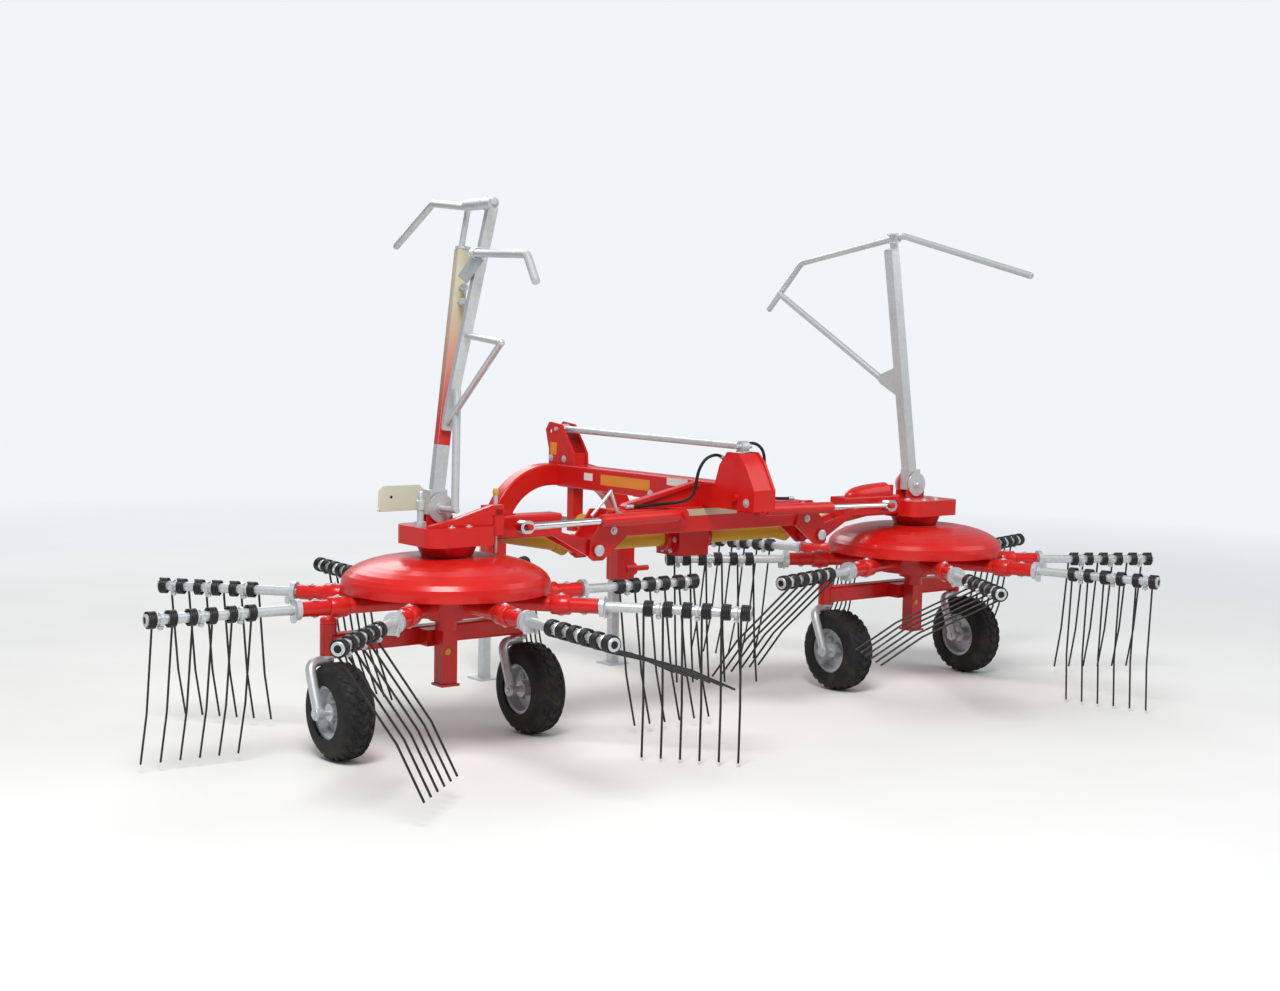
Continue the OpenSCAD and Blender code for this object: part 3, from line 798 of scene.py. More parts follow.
class Workshop:
    """Makes finished objects out of shells and paints the carried nodes."""

    def __init__(self) -> None:
        """Builds every material once."""
        self.materials = {finish: recipe.build(finish.value)
                          for finish, recipe in RECIPES.items()}

    def piece(self, name: str, shells: Sequence[Shell], finish: Finish,
              body: str,
              replaces: Sequence[str] = (),
              smooth: float = 35.0) -> bpy.types.Object:
        """Puts shells into one mesh, with its finish and its body.

        Points closer than 2 micrometres are merged, so that poles close,
        and then the faces are turned outwards.

        Args:
            name: the object's name.
            shells: the surfaces, in layout coordinates.
            finish: the material.
            body: the body that the piece rides on.
            replaces: nodes that the piece stands for.
            smooth: largest angle in degrees that is shaded smooth.

        Returns:
            The new object.
        """
        whole = joined(shells)
        mesh = bpy.data.meshes.new(name)
        mesh.from_pydata(SITE.at(whole.points).tolist(), [], whole.faces)
        work = bmesh.new()
        work.from_mesh(mesh)
        bmesh.ops.remove_doubles(work, verts=work.verts, dist=2e-6)
        bmesh.ops.recalc_face_normals(work, faces=work.faces)
        work.to_mesh(mesh)
        work.free()
        mesh.shade_smooth()
        mesh.set_sharp_from_angle(angle=math.radians(smooth))
        obj = bpy.data.objects.new(name, mesh)
        bpy.context.scene.collection.objects.link(obj)
        obj.data.materials.append(self.materials[finish])
        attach(obj, body)
        if replaces:
            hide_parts(*replaces)
        LOG.info("%s on %s: %d faces", name, body, len(mesh.polygons))
        return obj

    def paint_nodes(self) -> None:
        """Gives each carried node the material of its slot."""
        slots = {row["node"]: row["material_slot"]
                 for row in frame["record"]["subparts"]}
        own = {finish.value: finish for finish in Finish}
        for name, obj in frame["nodes"].items():
            finish = own[slots[name]]
            obj.data.materials.clear()
            obj.data.materials.append(self.materials[finish])
            LOG.info("node %s takes %s", name, finish.value)


@dataclass
class CasterPart:
    """What the pieces of one caster share: its place, nodes and bodies."""

    side: Side
    place: Place

    def node(self, what: str) -> str:
        """Name of one of the caster's nodes."""
        return f"{self.place.word}_{what}_{self.side.word}"

    def body(self, what: str) -> str:
        """Name of one of the caster's two bodies, caster or wheel."""
        return f"{self.place.word}_{what}_{self.side.letter}"

    def own(self, what: str) -> str:
        """Name of a new piece on this caster."""
        return f"{what}_{self.place.word}_{self.side.word}"

    @property
    def swivel(self) -> np.ndarray:
        """Where the swivel's axis meets the ground."""
        away = SITE.rotor_x + self.place.value * SITE.swivel_x
        return np.array([self.side.value * away, SITE.swivel_y, 0.0])

    @property
    def wheel(self) -> np.ndarray:
        """The wheel's middle, one trail behind the swivel."""
        return self.swivel + (0.0, -SITE.trail, SITE.axle_z)


@dataclass
class Tyre(CasterPart):
    """Low-pressure tyre with a lugged tread.

    bulge and flatness are the exponents of the section's half width and of
    its height. The tread starts at the share tread_from of that height and
    is whole at tread_blend above it. A groove lies groove_at widths off the
    middle on both sides, and its walls are groove_wall wide.
    """

    outer: float = 0.1945
    rim: float = 0.1078
    width: float = 0.143
    bulge: float = 0.75
    flatness: float = 0.42
    lug: float = 0.007
    lugs: int = 26
    lug_slant: float = 6.6
    lug_edge: float = 4.0
    lug_share: float = 1.6
    tread_from: float = 0.86
    tread_blend: float = 0.05
    groove_at: float = 0.2
    groove_half: float = 0.0035
    groove_wall: float = 0.0025
    bead_gap: float = 0.0005
    around: int = 416
    across: int = 44

    def shell(self) -> Shell:
        """The tyre's skin over angle and section.

        The section runs from one bead over the shoulders to the other on a
        flattened ellipse. On the crown a radius step of one lug height
        follows slanted blocks, cut by two grooves.

        Returns:
            A closed shell about the wheel's place.
        """
        a = np.linspace(0, TAU, self.around, endpoint=False)[:, None]
        t = np.linspace(-1, 1, self.across)[None, :] * math.pi / 2
        x = self.width / 2 * np.sign(t) * np.abs(np.sin(t)) ** self.bulge
        crown = np.abs(np.cos(t)) ** self.flatness
        base = self.rim + (self.outer - self.lug - self.rim) * crown
        tread = np.clip((crown - self.tread_from) / self.tread_blend, 0, 1)
        slant = self.lug_slant * math.pi * np.abs(x) / self.width
        block = np.clip(np.sin(self.lugs * a + slant) * self.lug_edge
                        + self.lug_share, 0, 1)
        off = np.abs(np.abs(x) - self.width * self.groove_at)
        rib = np.clip((off - self.groove_half) / self.groove_wall, 0, 1)
        r = base + self.lug * tread * block * rib
        points = np.stack([np.broadcast_to(x, r.shape), r * np.cos(a),
                           r * np.sin(a)], axis=-1)
        bead = np.full((1, 2), self.rim - self.bead_gap)
        inner = np.stack([np.broadcast_to(x[:, [-1, 0]], (self.around, 2)),
                          bead * np.cos(a), bead * np.sin(a)], axis=-1)
        return grid(np.concatenate([points, inner], axis=1), True,
                    True).at(self.wheel)

    def build(self, shop: Workshop) -> None:
        """Makes the tyre in place of its node."""
        name = self.node("tyre")
        shop.piece(f"lugged_{name}", [self.shell()], Finish.TYRE,
                   self.body("wheel"), replaces=[name], smooth=30.0)


@dataclass
class WheelTrim(CasterPart):
    """Hub nuts and valve of a wheel, and the nut on its axle.

    nut_faces are the disc's right and left face from the wheel's middle.
    """

    nut: float = 0.008
    nut_circle: float = 0.062
    nut_faces: tuple = (0.0225, -0.0145)
    valve_r: float = 0.0045
    valve: tuple = ((0.02, 0, 0.088), (0.03, 0, 0.083), (0.046, 0, 0.081))
    axle_nut: float = 0.013
    axle_end: float = -0.111

    def build(self, shop: Workshop) -> None:
        """Makes the trim of the wheel and of its fork.

        Args:
            shop: the workshop that makes the pieces.
        """
        nuts = [Bolt(self.nut).shell("X", sign).at(
                    self.wheel + (face, self.nut_circle * math.cos(a),
                                  self.nut_circle * math.sin(a)))
                for a in np.radians(np.arange(45, 360, 90))
                for sign, face in zip((1, -1), self.nut_faces)]
        shop.piece(self.own("hub_nuts"), nuts, Finish.ZINC,
                   self.body("wheel"))
        valve = tube(np.array(self.valve) + self.wheel, self.valve_r, 10)
        shop.piece(self.own("valve"), [valve], Finish.RUBBER,
                   self.body("wheel"))
        nut = Bolt(self.axle_nut).shell("X", -1)
        shop.piece(self.own("axle_nut"),
                   [nut.at(self.wheel + (self.axle_end, 0, 0))],
                   Finish.ZINC, self.body("caster"))


@dataclass
class CasterFork(CasterPart):
    """One-armed fork of bent round tube, with its stem and its axle.

    A profile is pairs of radius and height, and arm_x is the arm's distance
    from the wheel's middle.
    """

    tube_r: float = 0.0205
    bend: float = 0.055
    arm_x: float = -0.0985
    arm_y: float = -0.022
    sleeve_r: float = 0.034
    disc: float = 0.012
    top: float = 0.4047
    stem_r: float = 0.018
    stem_top: float = 0.5485
    edge: float = 0.002
    axle: tuple = ((0, -0.01), (0.0125, -0.01), (0.0125, 0.16), (0, 0.16))
    boss: tuple = ((0, -0.012), (0.025, -0.012), (0.027, -0.010),
                   (0.027, 0.012), (0.025, 0.014), (0, 0.014))
    cap: tuple = ((0, 0.5304), (0.032, 0.5304), (0.034, 0.533),
                  (0.034, 0.546), (0.030, 0.555), (0.018, 0.561), (0, 0.563))

    def shells(self) -> list:
        """Disc, stem, bent arm, boss and axle, about the swivel's foot.

        Returns:
            The fork's shells.
        """
        low = self.top - self.disc
        half = self.edge / 2
        disc = revolved([(0, low), (self.sleeve_r - half, low),
                         (self.sleeve_r, low + half),
                         (self.sleeve_r, self.top), (0, self.top)], 32)
        stem = revolved([(0, low), (self.stem_r, low),
                         (self.stem_r, self.stem_top - self.edge),
                         (self.stem_r - self.edge, self.stem_top),
                         (0, self.stem_top)], 24)
        hub = np.array([self.arm_x, -SITE.trail, SITE.axle_z])
        arm = bent_path([(0.012, 0.0, low - 0.010),
                         (self.arm_x, self.arm_y, low - 0.004),
                         hub + (0, 0, 0.008)], self.bend)
        return [disc, stem, tube(arm, self.tube_r, 16, (0.1, 1, 0.02)),
                revolved(self.boss, 24, "X").at(hub),
                revolved(self.axle, 20, "X").at(hub)]

    def build(self, shop: Workshop) -> None:
        """Makes the fork in place of its node, and its sleeve's cap.

        Args:
            shop: the workshop that makes the pieces.
        """
        name = self.node("fork")
        shop.piece(f"bent_{name}",
                   [shell.at(self.swivel) for shell in self.shells()],
                   Finish.ZINC, self.body("caster"), replaces=[name],
                   smooth=40)
        shop.piece(self.own("sleeve_cap"),
                   [revolved(self.cap, 32).at(self.swivel)], Finish.RED,
                   self.body("caster"), smooth=50)


@dataclass(frozen=True)
class Moment:
    """How a rotor stands at this moment of its turn, in degrees.

    phase is how far the first arm is turned from the side's outward X, and
    rolls has the roll of each arm about itself, as the part's source has it.
    """

    phase: float
    rolls: tuple


MOMENTS = {
    Side.LEFT: Moment(4.0, (-10, -10, -10, -10, -10, 5, 75, 36)),
    Side.RIGHT: Moment(16.0, (-10, -10, -10, -10, 45, 65, 5, -10)),
}


@dataclass
class RotorPart:
    """What the pieces of one rotor share: its arms' places and its body."""

    side: Side
    axis_z: float = 0.615

    @property
    def body(self) -> str:
        """Name of the rotor's body."""
        return f"rotor_{self.side.letter}"

    @property
    def centre(self) -> np.ndarray:
        """Where the arms' axes meet, before the mirroring."""
        return np.array([SITE.rotor_x, 0, self.axis_z])

    def arm_turns(self) -> list:
        """For each arm the matrix that turns X into its direction.

        Returns:
            A list of rotation matrices.
        """
        moment = MOMENTS[self.side]
        count = len(moment.rolls)
        return [turn_about("Z", moment.phase + k * 360 / count)
                for k in range(count)]


@dataclass
class SpringTines(RotorPart):
    """Coil-spring tines of a rotor, each wound from one wire.

    start and pitch lie along the arm. The wire's end keeps clear of the
    ground, with a spare length for its bend. The clip's ring is pairs of
    radius and place along the arm. A clip's bolt is its size and how far it
    lies from the arm's axis.
    """

    start: float = 0.838
    pitch: float = 0.078
    count: int = 6
    wire: float = 0.00475
    coil: float = 0.034
    width: float = 0.042
    turns: float = 4.25
    turn_points: int = 14
    tip: float = 0.220
    tip_bend: float = 9.0
    clear: float = 0.008
    spare: float = 0.006
    longest: float = 0.6
    ring: tuple = ((0.0203, -0.008), (0.0245, -0.008), (0.0265, -0.0055),
                   (0.0265, 0.0055), (0.0245, 0.008), (0.0203, 0.008))
    lug: tuple = (0.020, 0.018, 0.003)
    lug_thick: float = 0.013
    lug_low: float = 0.0385
    front_bolt: tuple = (0.0055, 0.0262)
    low_bolt: tuple = (0.0045, 0.0382)

    def wire_path(self, roll: float) -> np.ndarray:
        """Middle line of one wire, from its clip to the tip.

        The coil is a helix about the arm, which ends level with the arm's
        axis, heading down. The leg runs straight down and then turns
        forward by the tip's bend on a short curve.

        Args:
            roll: the arm's roll in degrees.

        Returns:
            An array of points about the arm's axis.
        """
        reach = self.axis_z - self.clear - self.wire - self.spare
        drop = min(reach / math.cos(math.radians(roll)), self.longest)
        r = self.coil - self.wire
        a = np.linspace(self.turns * TAU, 0,
                        int(self.turns * self.turn_points) + 1)
        half = self.width / 2 - self.wire
        x = np.linspace(half, -half, len(a))
        coil = np.column_stack([x, r * np.cos(a), r * np.sin(a)])
        bend = math.radians(self.tip_bend)
        knee = np.array([x[-1], r, -drop + self.tip])
        tip = knee + self.tip * np.array([0, math.sin(bend), -math.cos(bend)])
        leg = [np.linspace(first, 1, points)[:, None] * (end - start) + start
               for start, end, first, points in ((coil[-1], knee, 0.12, 4),
                                                 (knee, tip, 0.15, 5))]
        return np.vstack([coil, *leg])

    def clip(self) -> Shell:
        """The clip between the two coils of a pair, with its lug below.

        Returns:
            The clip's shell.
        """
        lug = plate(rounded(*self.lug), self.lug_thick)
        (front, ahead), (low, down) = self.front_bolt, self.low_bolt
        return joined([revolved(self.ring, 16, "X"),
                       lug.at((0, 0, -self.lug_low)),
                       Bolt(front).shell("Y", -1).at((0, -ahead, 0)),
                       Bolt(low).shell("Z", -1).at((0, 0, -down))])

    def shells(self) -> tuple:
        """Wires and clips of all arms.

        Returns:
            The wires' shells and the clips' shells.
        """
        wires, clips, clip = [], [], self.clip()
        for turn, roll in zip(self.arm_turns(), MOMENTS[self.side].rolls):
            pose = turn @ turn_about("X", -roll)
            wire = tube(self.wire_path(roll), self.wire, 6, (0.3, 0.1, 0.2))
            for k in range(self.count):
                x = self.start + k * self.pitch
                wires.append(wire.moved(
                    pose, pose @ (x, 0, 0) + self.centre))
                if k % 2 == 0:
                    clips.append(clip.moved(
                        pose, pose @ (x + self.pitch / 2, 0, 0)
                        + self.centre))
        return on_side(wires, self.side), on_side(clips, self.side)

    def build(self, shop: Workshop) -> None:
        """Makes the wires in place of the node, and the clips.

        Args:
            shop: the workshop that makes the pieces.
        """
        wires, clips = self.shells()
        shop.piece(f"spring_tines_{self.side.word}", wires, Finish.SPRING,
                   self.body, replaces=[f"tines_{self.side.word}"], smooth=60)
        shop.piece(f"tine_clips_{self.side.word}", clips, Finish.ZINC,
                   self.body)


@dataclass
class RotorTrim(RotorPart):
    """Fittings of the sockets and rims of the tine arms' ends.

    A profile is pairs of radius and place along the arm, and bolt_spots is
    pairs of place along the arm and height above it. hook is the latch's
    outline across the arm, and the latch's gaps count from the socket's end.
    """

    reach: float = 1.25
    socket: float = 0.635
    bolt: float = 0.008
    bolt_spots: tuple = ((0.480, 0.0395), (0.575, 0.0305))
    knuckle: tuple = ((0.031, 0.440), (0.037, 0.440), (0.041, 0.445),
                      (0.041, 0.515), (0.037, 0.520), (0.031, 0.520))
    rim: tuple = ((0.0145, -0.011), (0.0240, -0.011), (0.0255, -0.008),
                  (0.0255, -0.001), (0.0235, 0.001), (0.0145, 0.001))
    # The bore is a black disc that paints the shade inside each arm's open
    # end.
    bore: tuple = ((0, -0.005), (0.0148, -0.005), (0.0148, 0.0004),
                   (0, 0.0004))
    hook: tuple = ((-0.020, 0.026), (0.020, 0.026), (0.028, -0.012),
                   (0.026, -0.046), (-0.014, -0.046), (-0.026, -0.012))
    hook_gap: float = 0.026
    tongue_size: tuple = (0.024, 0.030, 0.006)
    tongue_at: tuple = (0.038, -0.020, -0.033)
    sheet: float = 0.005
    weld_x: float = 0.1925
    weld_ring: float = 0.0325
    weld_r: float = 0.0045
    weld_wave: float = 0.0006

    def latch(self) -> Shell:
        """The latch at the socket's end: a hook and its tongue.

        Returns:
            The latch's shell.
        """
        hook = plate(self.hook, self.sheet)
        tongue = plate(rounded(*self.tongue_size), self.sheet)
        both = joined([hook.moved(ALONG, (self.hook_gap, 0, 0)),
                       tongue.moved(UPRIGHT, self.tongue_at)])
        return both.at((self.socket, 0, 0))

    def weld(self) -> Shell:
        """The bead round the socket's root, which swells nine times.

        Returns:
            The bead's shell.
        """
        a = np.linspace(0, TAU, 29)
        ring = np.column_stack([np.full(len(a), self.weld_x),
                                self.weld_ring * np.cos(a),
                                self.weld_ring * np.sin(a)])
        return tube(ring, self.weld_r + self.weld_wave * np.sin(9 * a), 8,
                    (1, 0, 0.001))

    def build(self, shop: Workshop) -> None:
        """Makes the trim that turns with the rotor.

        Args:
            shop: the workshop that makes the pieces.
        """
        bright = [Bolt(self.bolt).shell("Z", sign).at((x, 0, sign * z))
                  for x, z in self.bolt_spots for sign in (1, -1)]
        bright += [self.latch(),
                   revolved(self.rim, 24, "X").at((self.reach, 0, 0))]
        # A black disc just inside each arm's open end is painted shade in the
        # tube.
        dark = [revolved(self.bore, 20, "X").at((self.reach, 0, 0))]
        red = [revolved(self.knuckle, 28, "X"), self.weld()]
        for name, shells, finish, smooth in (
                ("socket_bolts", bright, Finish.ZINC, 35.0),
                ("arm_caps", dark, Finish.RUBBER, 35.0),
                ("socket_welds", red, Finish.RED, 60)):
            placed = [shell.moved(turn, self.centre)
                      for turn in self.arm_turns() for shell in shells]
            shop.piece(f"{name}_{self.side.word}",
                       on_side(placed, self.side), finish, self.body,
                       smooth=smooth)


@dataclass(frozen=True)
class GuardPlan:
    """Sizes of one guard. A pair is a distance in front and a height up."""

    lean: float
    turn: float
    mast_top: float
    carrier: float
    bow: tuple
    clamps: tuple
    prong: tuple = ()


GUARDS = {
    Side.RIGHT: GuardPlan(
        lean=9.0, turn=0.0, mast_top=1.16, carrier=0.052,
        bow=((0.975, 0.865), (0.857, 0.965), (0.691, 1.106),
             (-0.047, 1.223), (-0.822, 1.02)),
        clamps=((0.0, 1.2155),)),
    Side.LEFT: GuardPlan(
        lean=6.5, turn=14.0, mast_top=1.05, carrier=0.040,
        bow=((0.84, 1.112), (0.36, 1.262), (-0.078, 1.212), (-0.43, 1.205)),
        clamps=((-0.305, 1.2085), (-0.265, 1.0145)),
        prong=((-0.24, 1.016), (-0.86, 0.975), (-0.98, 0.872))),
}


@dataclass
class GuardBow:
    """Bent guard tubes on a mast, with their clamps, plugs and reflection
    sleeve.

    coat is the lower and upper height of the left mast's sleeve, which carries
    a painted reflection, cream above and red at the foot, and ring, lid and
    knob are the sizes of what only one side has.
    """

    side: Side
    radius: float = 0.0155
    mast: float = 0.052
    bend: float = 0.07
    hinge_out: float = 0.02
    # Heights of the sleeve that carries the left mast's painted reflection.
    coat: tuple = (0.255, 1.046)
    coat_wall: float = 0.0006
    end_r: float = 0.0225
    clamp_r: float = 0.004
    clamp_half: float = 0.020
    clamp_gap: float = 0.014
    pin: float = 0.012
    pin_face: float = 0.0475
    ring: tuple = ((0.017, 0), (0.029, 0), (0.031, 0.002), (0.031, 0.011),
                   (0.029, 0.013), (0.017, 0.013))
    knob: tuple = ((0, 0), (0.009, 0), (0.009, 0.032), (0.015, 0.034),
                   (0.015, 0.052), (0.011, 0.057), (0, 0.057))
    knob_y: float = -0.025
    knob_heights: tuple = (0.894, 0.836)
    coupling: tuple = ((-0.234, 1.022), (-0.362, 0.981), (-0.186, 0.900),
                       (-0.068, 0.935))
    coupling_x: float = 0.0262
    coupling_thick: float = 0.005
    thick_end: tuple = ((-0.100, 1.216), (-0.427, 1.199))

    @property
    def plan(self) -> GuardPlan:
        """The side's own sizes."""
        return GUARDS[self.side]

    @property
    def off(self) -> float:
        """How far beside the mast's middle the bent tubes lie."""
        return self.plan.carrier / 2 + self.radius

    @property
    def hinge(self) -> np.ndarray:
        """The guard's hinge, before the mirroring."""
        return np.array([SITE.rotor_x + self.hinge_out, SITE.guard_y,
                         SITE.guard_z])

    def placed(self, shells: Sequence[Shell]) -> list:
        """Turns and leans shells with the mast, at the guard's hinge.

        Args:
            shells: shells on the mast's own axes.

        Returns:
            The shells where the guard stands.
        """
        pose = (turn_about("Y", -self.plan.lean)
                @ turn_about("Z", self.plan.turn))
        return on_side([s.moved(pose, self.hinge) for s in shells],
                       self.side)

    def bent(self, pairs: Sequence) -> Shell:
        """A tube through corner pairs, beside the mast."""
        corners = np.column_stack([np.full(len(pairs), self.off), pairs])
        return tube(bent_path(corners, self.bend), self.radius, 20,
                    (1, 0, 0.001))

    def plug(self, end: Sequence, inner: Sequence) -> Shell:
        """A round end plug that looks along the tube's last run.

        Args:
            end: the pair at the tube's end.
            inner: the corner pair before it.

        Returns:
            The plug's shell.
        """
        r = self.radius
        disc = revolved([(0, -0.004), (r - 0.0025, -0.004), (r - 0.0025, 0.0),
                         (r, 0.0008), (r, 0.003), (r - 0.003, 0.006),
                         (0, 0.007)], 16, "Y")
        away = np.subtract(end, inner)
        tilt = math.degrees(math.atan2(away[1], away[0]))
        return disc.moved(turn_about("X", tilt), (self.off, *end))

    def painted_coat(self) -> Shell:
        """An open sleeve round the mast between two heights: painted
        reflection.

        Returns:
            The coat's shell.
        """
        low, high = self.coat
        under, over = self.mast - 0.002, self.mast + 2 * self.coat_wall
        rings = [np.column_stack([rounded(w, w, 0.003, 3), np.full(12, z)])
                 for w, z in ((under, low), (over, low), (over, high),
                              (under, high))]
        return grid(np.array(rings), True, True)

    def mast_end(self) -> Shell:
        """The left mast's open ring, or the right mast's lid.

        Returns:
            The end's shell.
        """
        if self.side is Side.LEFT:
            return revolved(self.ring, 32).at(
                (0, 0, self.plan.mast_top + 0.0002))
        width = self.mast - 0.002
        return plate(rounded(width, width, 0.006), 0.008, 0.002).at(
            (0, 0, self.plan.mast_top))

    def clamp(self, y: float, z: float) -> Shell:
        """One round bar bent over a tube at a distance and a height.

        Args:
            y: the tube's distance in front of the mast.
            z: the tube's height.

        Returns:
            The bar's shell.
        """
        back, half = self.off - 0.045, self.clamp_half
        loop = [(back, y, z + half), (self.off, y, z + half),
                (self.off + 0.0195, y, z), (self.off, y, z - half),
                (back, y, z - half)]
        return tube(smooth_path(loop, 5), self.clamp_r, 8, (0, 1, 0.01))

    def coupled(self) -> list:
        """Plate, knobs and thick bow end that only the left guard has.

        Returns:
            The shells, on the mast's own axes.
        """
        sheet = plate(self.coupling, self.coupling_thick).moved(
            ALONG, (self.coupling_x, 0, 0))
        knob = revolved(self.knob, 20, "Y").moved(BACKWARD,
                                                  (0, self.knob_y, 0))
        end = tube([(self.off, *pair) for pair in self.thick_end],
                   self.end_r, 20, (1, 0, 0.001))
        return [sheet, *(knob.at((0, 0, z)) for z in self.knob_heights), end]

    def build(self, shop: Workshop) -> None:
        """Makes the tubes in place of their node, and the trim.

        Args:
            shop: the workshop that makes the pieces.
        """
        plan, word = self.plan, self.side.word
        body = f"guard_{self.side.letter}"
        left = self.side is Side.LEFT
        runs = [run for run in (plan.bow, plan.prong) if run]
        shop.piece(f"bent_bow_{word}",
                   self.placed([self.bent(run) for run in runs]),
                   Finish.ZINC, body, replaces=[f"guard_bow_{word}"],
                   smooth=50)
        if left:
            # The sleeve's colour is a painted reflection, cream above and red
            # at the foot.
            shop.piece("mast_coat", self.placed([self.painted_coat()]),
                       Finish.FADE, body)
        plugs = [self.plug(run[end], run[inner]) for run in runs
                 for end, inner in ((0, 1), (-1, -2))]
        shop.piece(f"guard_plugs_{word}",
                   self.placed([*plugs, self.mast_end()]), Finish.ZINC, body)
        clamps = [self.clamp(y + gap, z) for y, z in plan.clamps
                  for gap in (-self.clamp_gap, self.clamp_gap)]
        if left:
            clamps += self.coupled()
        pins = [Bolt(self.pin).shell("Y", sign).at(
                    self.hinge + (0, sign * self.pin_face, 0))
                for sign in (1, -1)]
        shop.piece(f"guard_clamps_{word}",
                   self.placed(clamps) + on_side(pins, self.side),
                   Finish.ZINC, body, smooth=40)


@dataclass
class Hose:
    """Hydraulic hose along its own route, with crimped ends.

    crimp is the fitting's radii, spread over crimp_span from the hose's end.
    """

    name: str
    node: str
    length: float
    route: Sequence
    radius: float = 0.007
    crimp: tuple = (0.0078, 0.0098, 0.0098, 0.0088, 0.0098, 0.0088, 0.0098,
                    0.0084)
    crimp_span: tuple = (-0.004, 0.032)

    def build(self, shop: Workshop) -> None:
        """Makes the hose in place of its node, and its end fittings.

        Args:
            shop: the workshop that makes the pieces.
        """
        path, up = smooth_path(self.route, 6), (0, 0.2, 1)
        hose = shop.piece(self.name, [tube(path, self.radius, 12, up)],
                          Finish.RUBBER, "frame", replaces=[self.node],
                          smooth=60)
        ends = []
        for end, inner in ((path[0], path[2]), (path[-1], path[-3])):
            along = (inner - end) / np.linalg.norm(inner - end)
            first, last = (end + place * along for place in self.crimp_span)
            ends.append(tube(np.linspace(first, last, len(self.crimp)),
                             self.crimp, 12, up))
        crimps = shop.piece(f"{self.name}_crimps", ends, Finish.ZINC, "frame")


@dataclass
class FrameTrim:
    """Blank labels, bolts and pin collars of the fixed frame.

    A row of spine_bolts is how far forward and how far above the spine's
    underside, and a row of cross_bolts is how far out and how high. collar
    is pairs of radius and height.
    """

    cheek: float = 0.012
    spine_bolts: tuple = ((-0.35, 0.035), (0.08, 0.035), (0.32, 0.022))
    tower_bolts: tuple = (1.03, 1.14)
    tower_half: float = 0.046
    tower_rise: float = 0.028
    cross_bolts: tuple = ((0.535, 0.925), (0.565, 0.86), (0.575, 0.90))
    collar: tuple = ((0, 0), (0.024, 0), (0.025, 0.001), (0.025, 0.006),
                     (0.022, 0.008), (0, 0.008))
    collar_y: float = 0.0795
    box_half: float = 0.099
    box_circle: float = 0.058
    large: float = 0.010
    middling: float = 0.009
    small: float = 0.007
    label_gap: float = 0.0004
    label_thick: float = 0.0006
    label_edge: float = 0.0002

    def labels(self, shop: Workshop) -> None:
        """Blank labels on the spine, the link tower and the cross beam.

        Args:
            shop: the workshop that makes the pieces.
        """
        side = -SITE.spine_w / 2 - self.label_gap
        mid = (SITE.spine_z + SITE.spine_top) / 2
        rows = (  # name, finish, turn, and width, height, corner, place
            ("amber_labels", Finish.LABEL_AMBER, LEFTWARD,
             ((0.38, 0.050, 0.004, (side, 0.53, mid + 0.004)),)),
            ("white_labels", Finish.LABEL_WHITE, LEFTWARD,
             ((0.070, 0.036, 0.004, (side, 0.82, mid + 0.010)),
              (0.15, 0.034, 0.004, (side, 0.14, mid + 0.034)))),
            ("tower_label", Finish.LABEL_AMBER, LEFTWARD,
             ((0.055, 0.06, 0.004,
               (-self.tower_half - self.label_gap, SITE.stock_y,
                SITE.spine_top + 0.075)),)),
            ("beam_strip", Finish.CREAM, UPRIGHT,
             ((0.40, 0.030, 0.003,
               (-0.06, -SITE.cross_size / 2 - 0.0002, 0.918)),)))
        for name, finish, turn, places in rows:
            shells = [plate(rounded(*size), self.label_thick,
                            self.label_edge).moved(turn, place)
                      for *size, place in places]
            shop.piece(name, shells, finish, "frame")

    def bolts(self, shop: Workshop) -> None:
        """Bolt heads and pin collars of the frame.

        Args:
            shop: the workshop that makes the pieces.
        """
        shells = []
        wall = SITE.spine_w / 2 + self.cheek
        face = SITE.cross_size / 2 + self.cheek
        spots = [(self.large, wall, y, SITE.spine_z + rise)
                 for y, rise in self.spine_bolts]
        spots += [(self.middling, self.tower_half, y,
                   SITE.spine_top + self.tower_rise)
                  for y in self.tower_bolts]
        for right in (1, -1):
            shells += [Bolt(size).shell("X", right).at((right * x, y, z))
                       for size, x, y, z in spots]
            for front in (1, -1):
                shells += [Bolt(self.middling).shell("Y", front).at(
                               (right * x, front * face, z))
                           for x, z in self.cross_bolts]
                collar = revolved(self.collar, 24, "Y")
                shells.append(collar.moved(
                    turn_about("Z", 0) if front > 0 else BACKWARD,
                    (right * SITE.hinge_x, front * self.collar_y,
                     SITE.hinge_z)))
        shells += [Bolt(self.small).shell("X", right).at(
                       (right * self.box_half,
                        SITE.shaft_y + self.box_circle * math.cos(a),
                        SITE.hinge_z + self.box_circle * math.sin(a)))
                   for a in np.radians(np.arange(0, 360, 60))
                   for right in (1, -1)]
        shop.piece("frame_bolts", shells, Finish.ZINC, "frame")

    def build(self, shop: Workshop) -> None:
        """Makes all trim of the frame."""
        self.labels(shop)
        self.bolts(shop)


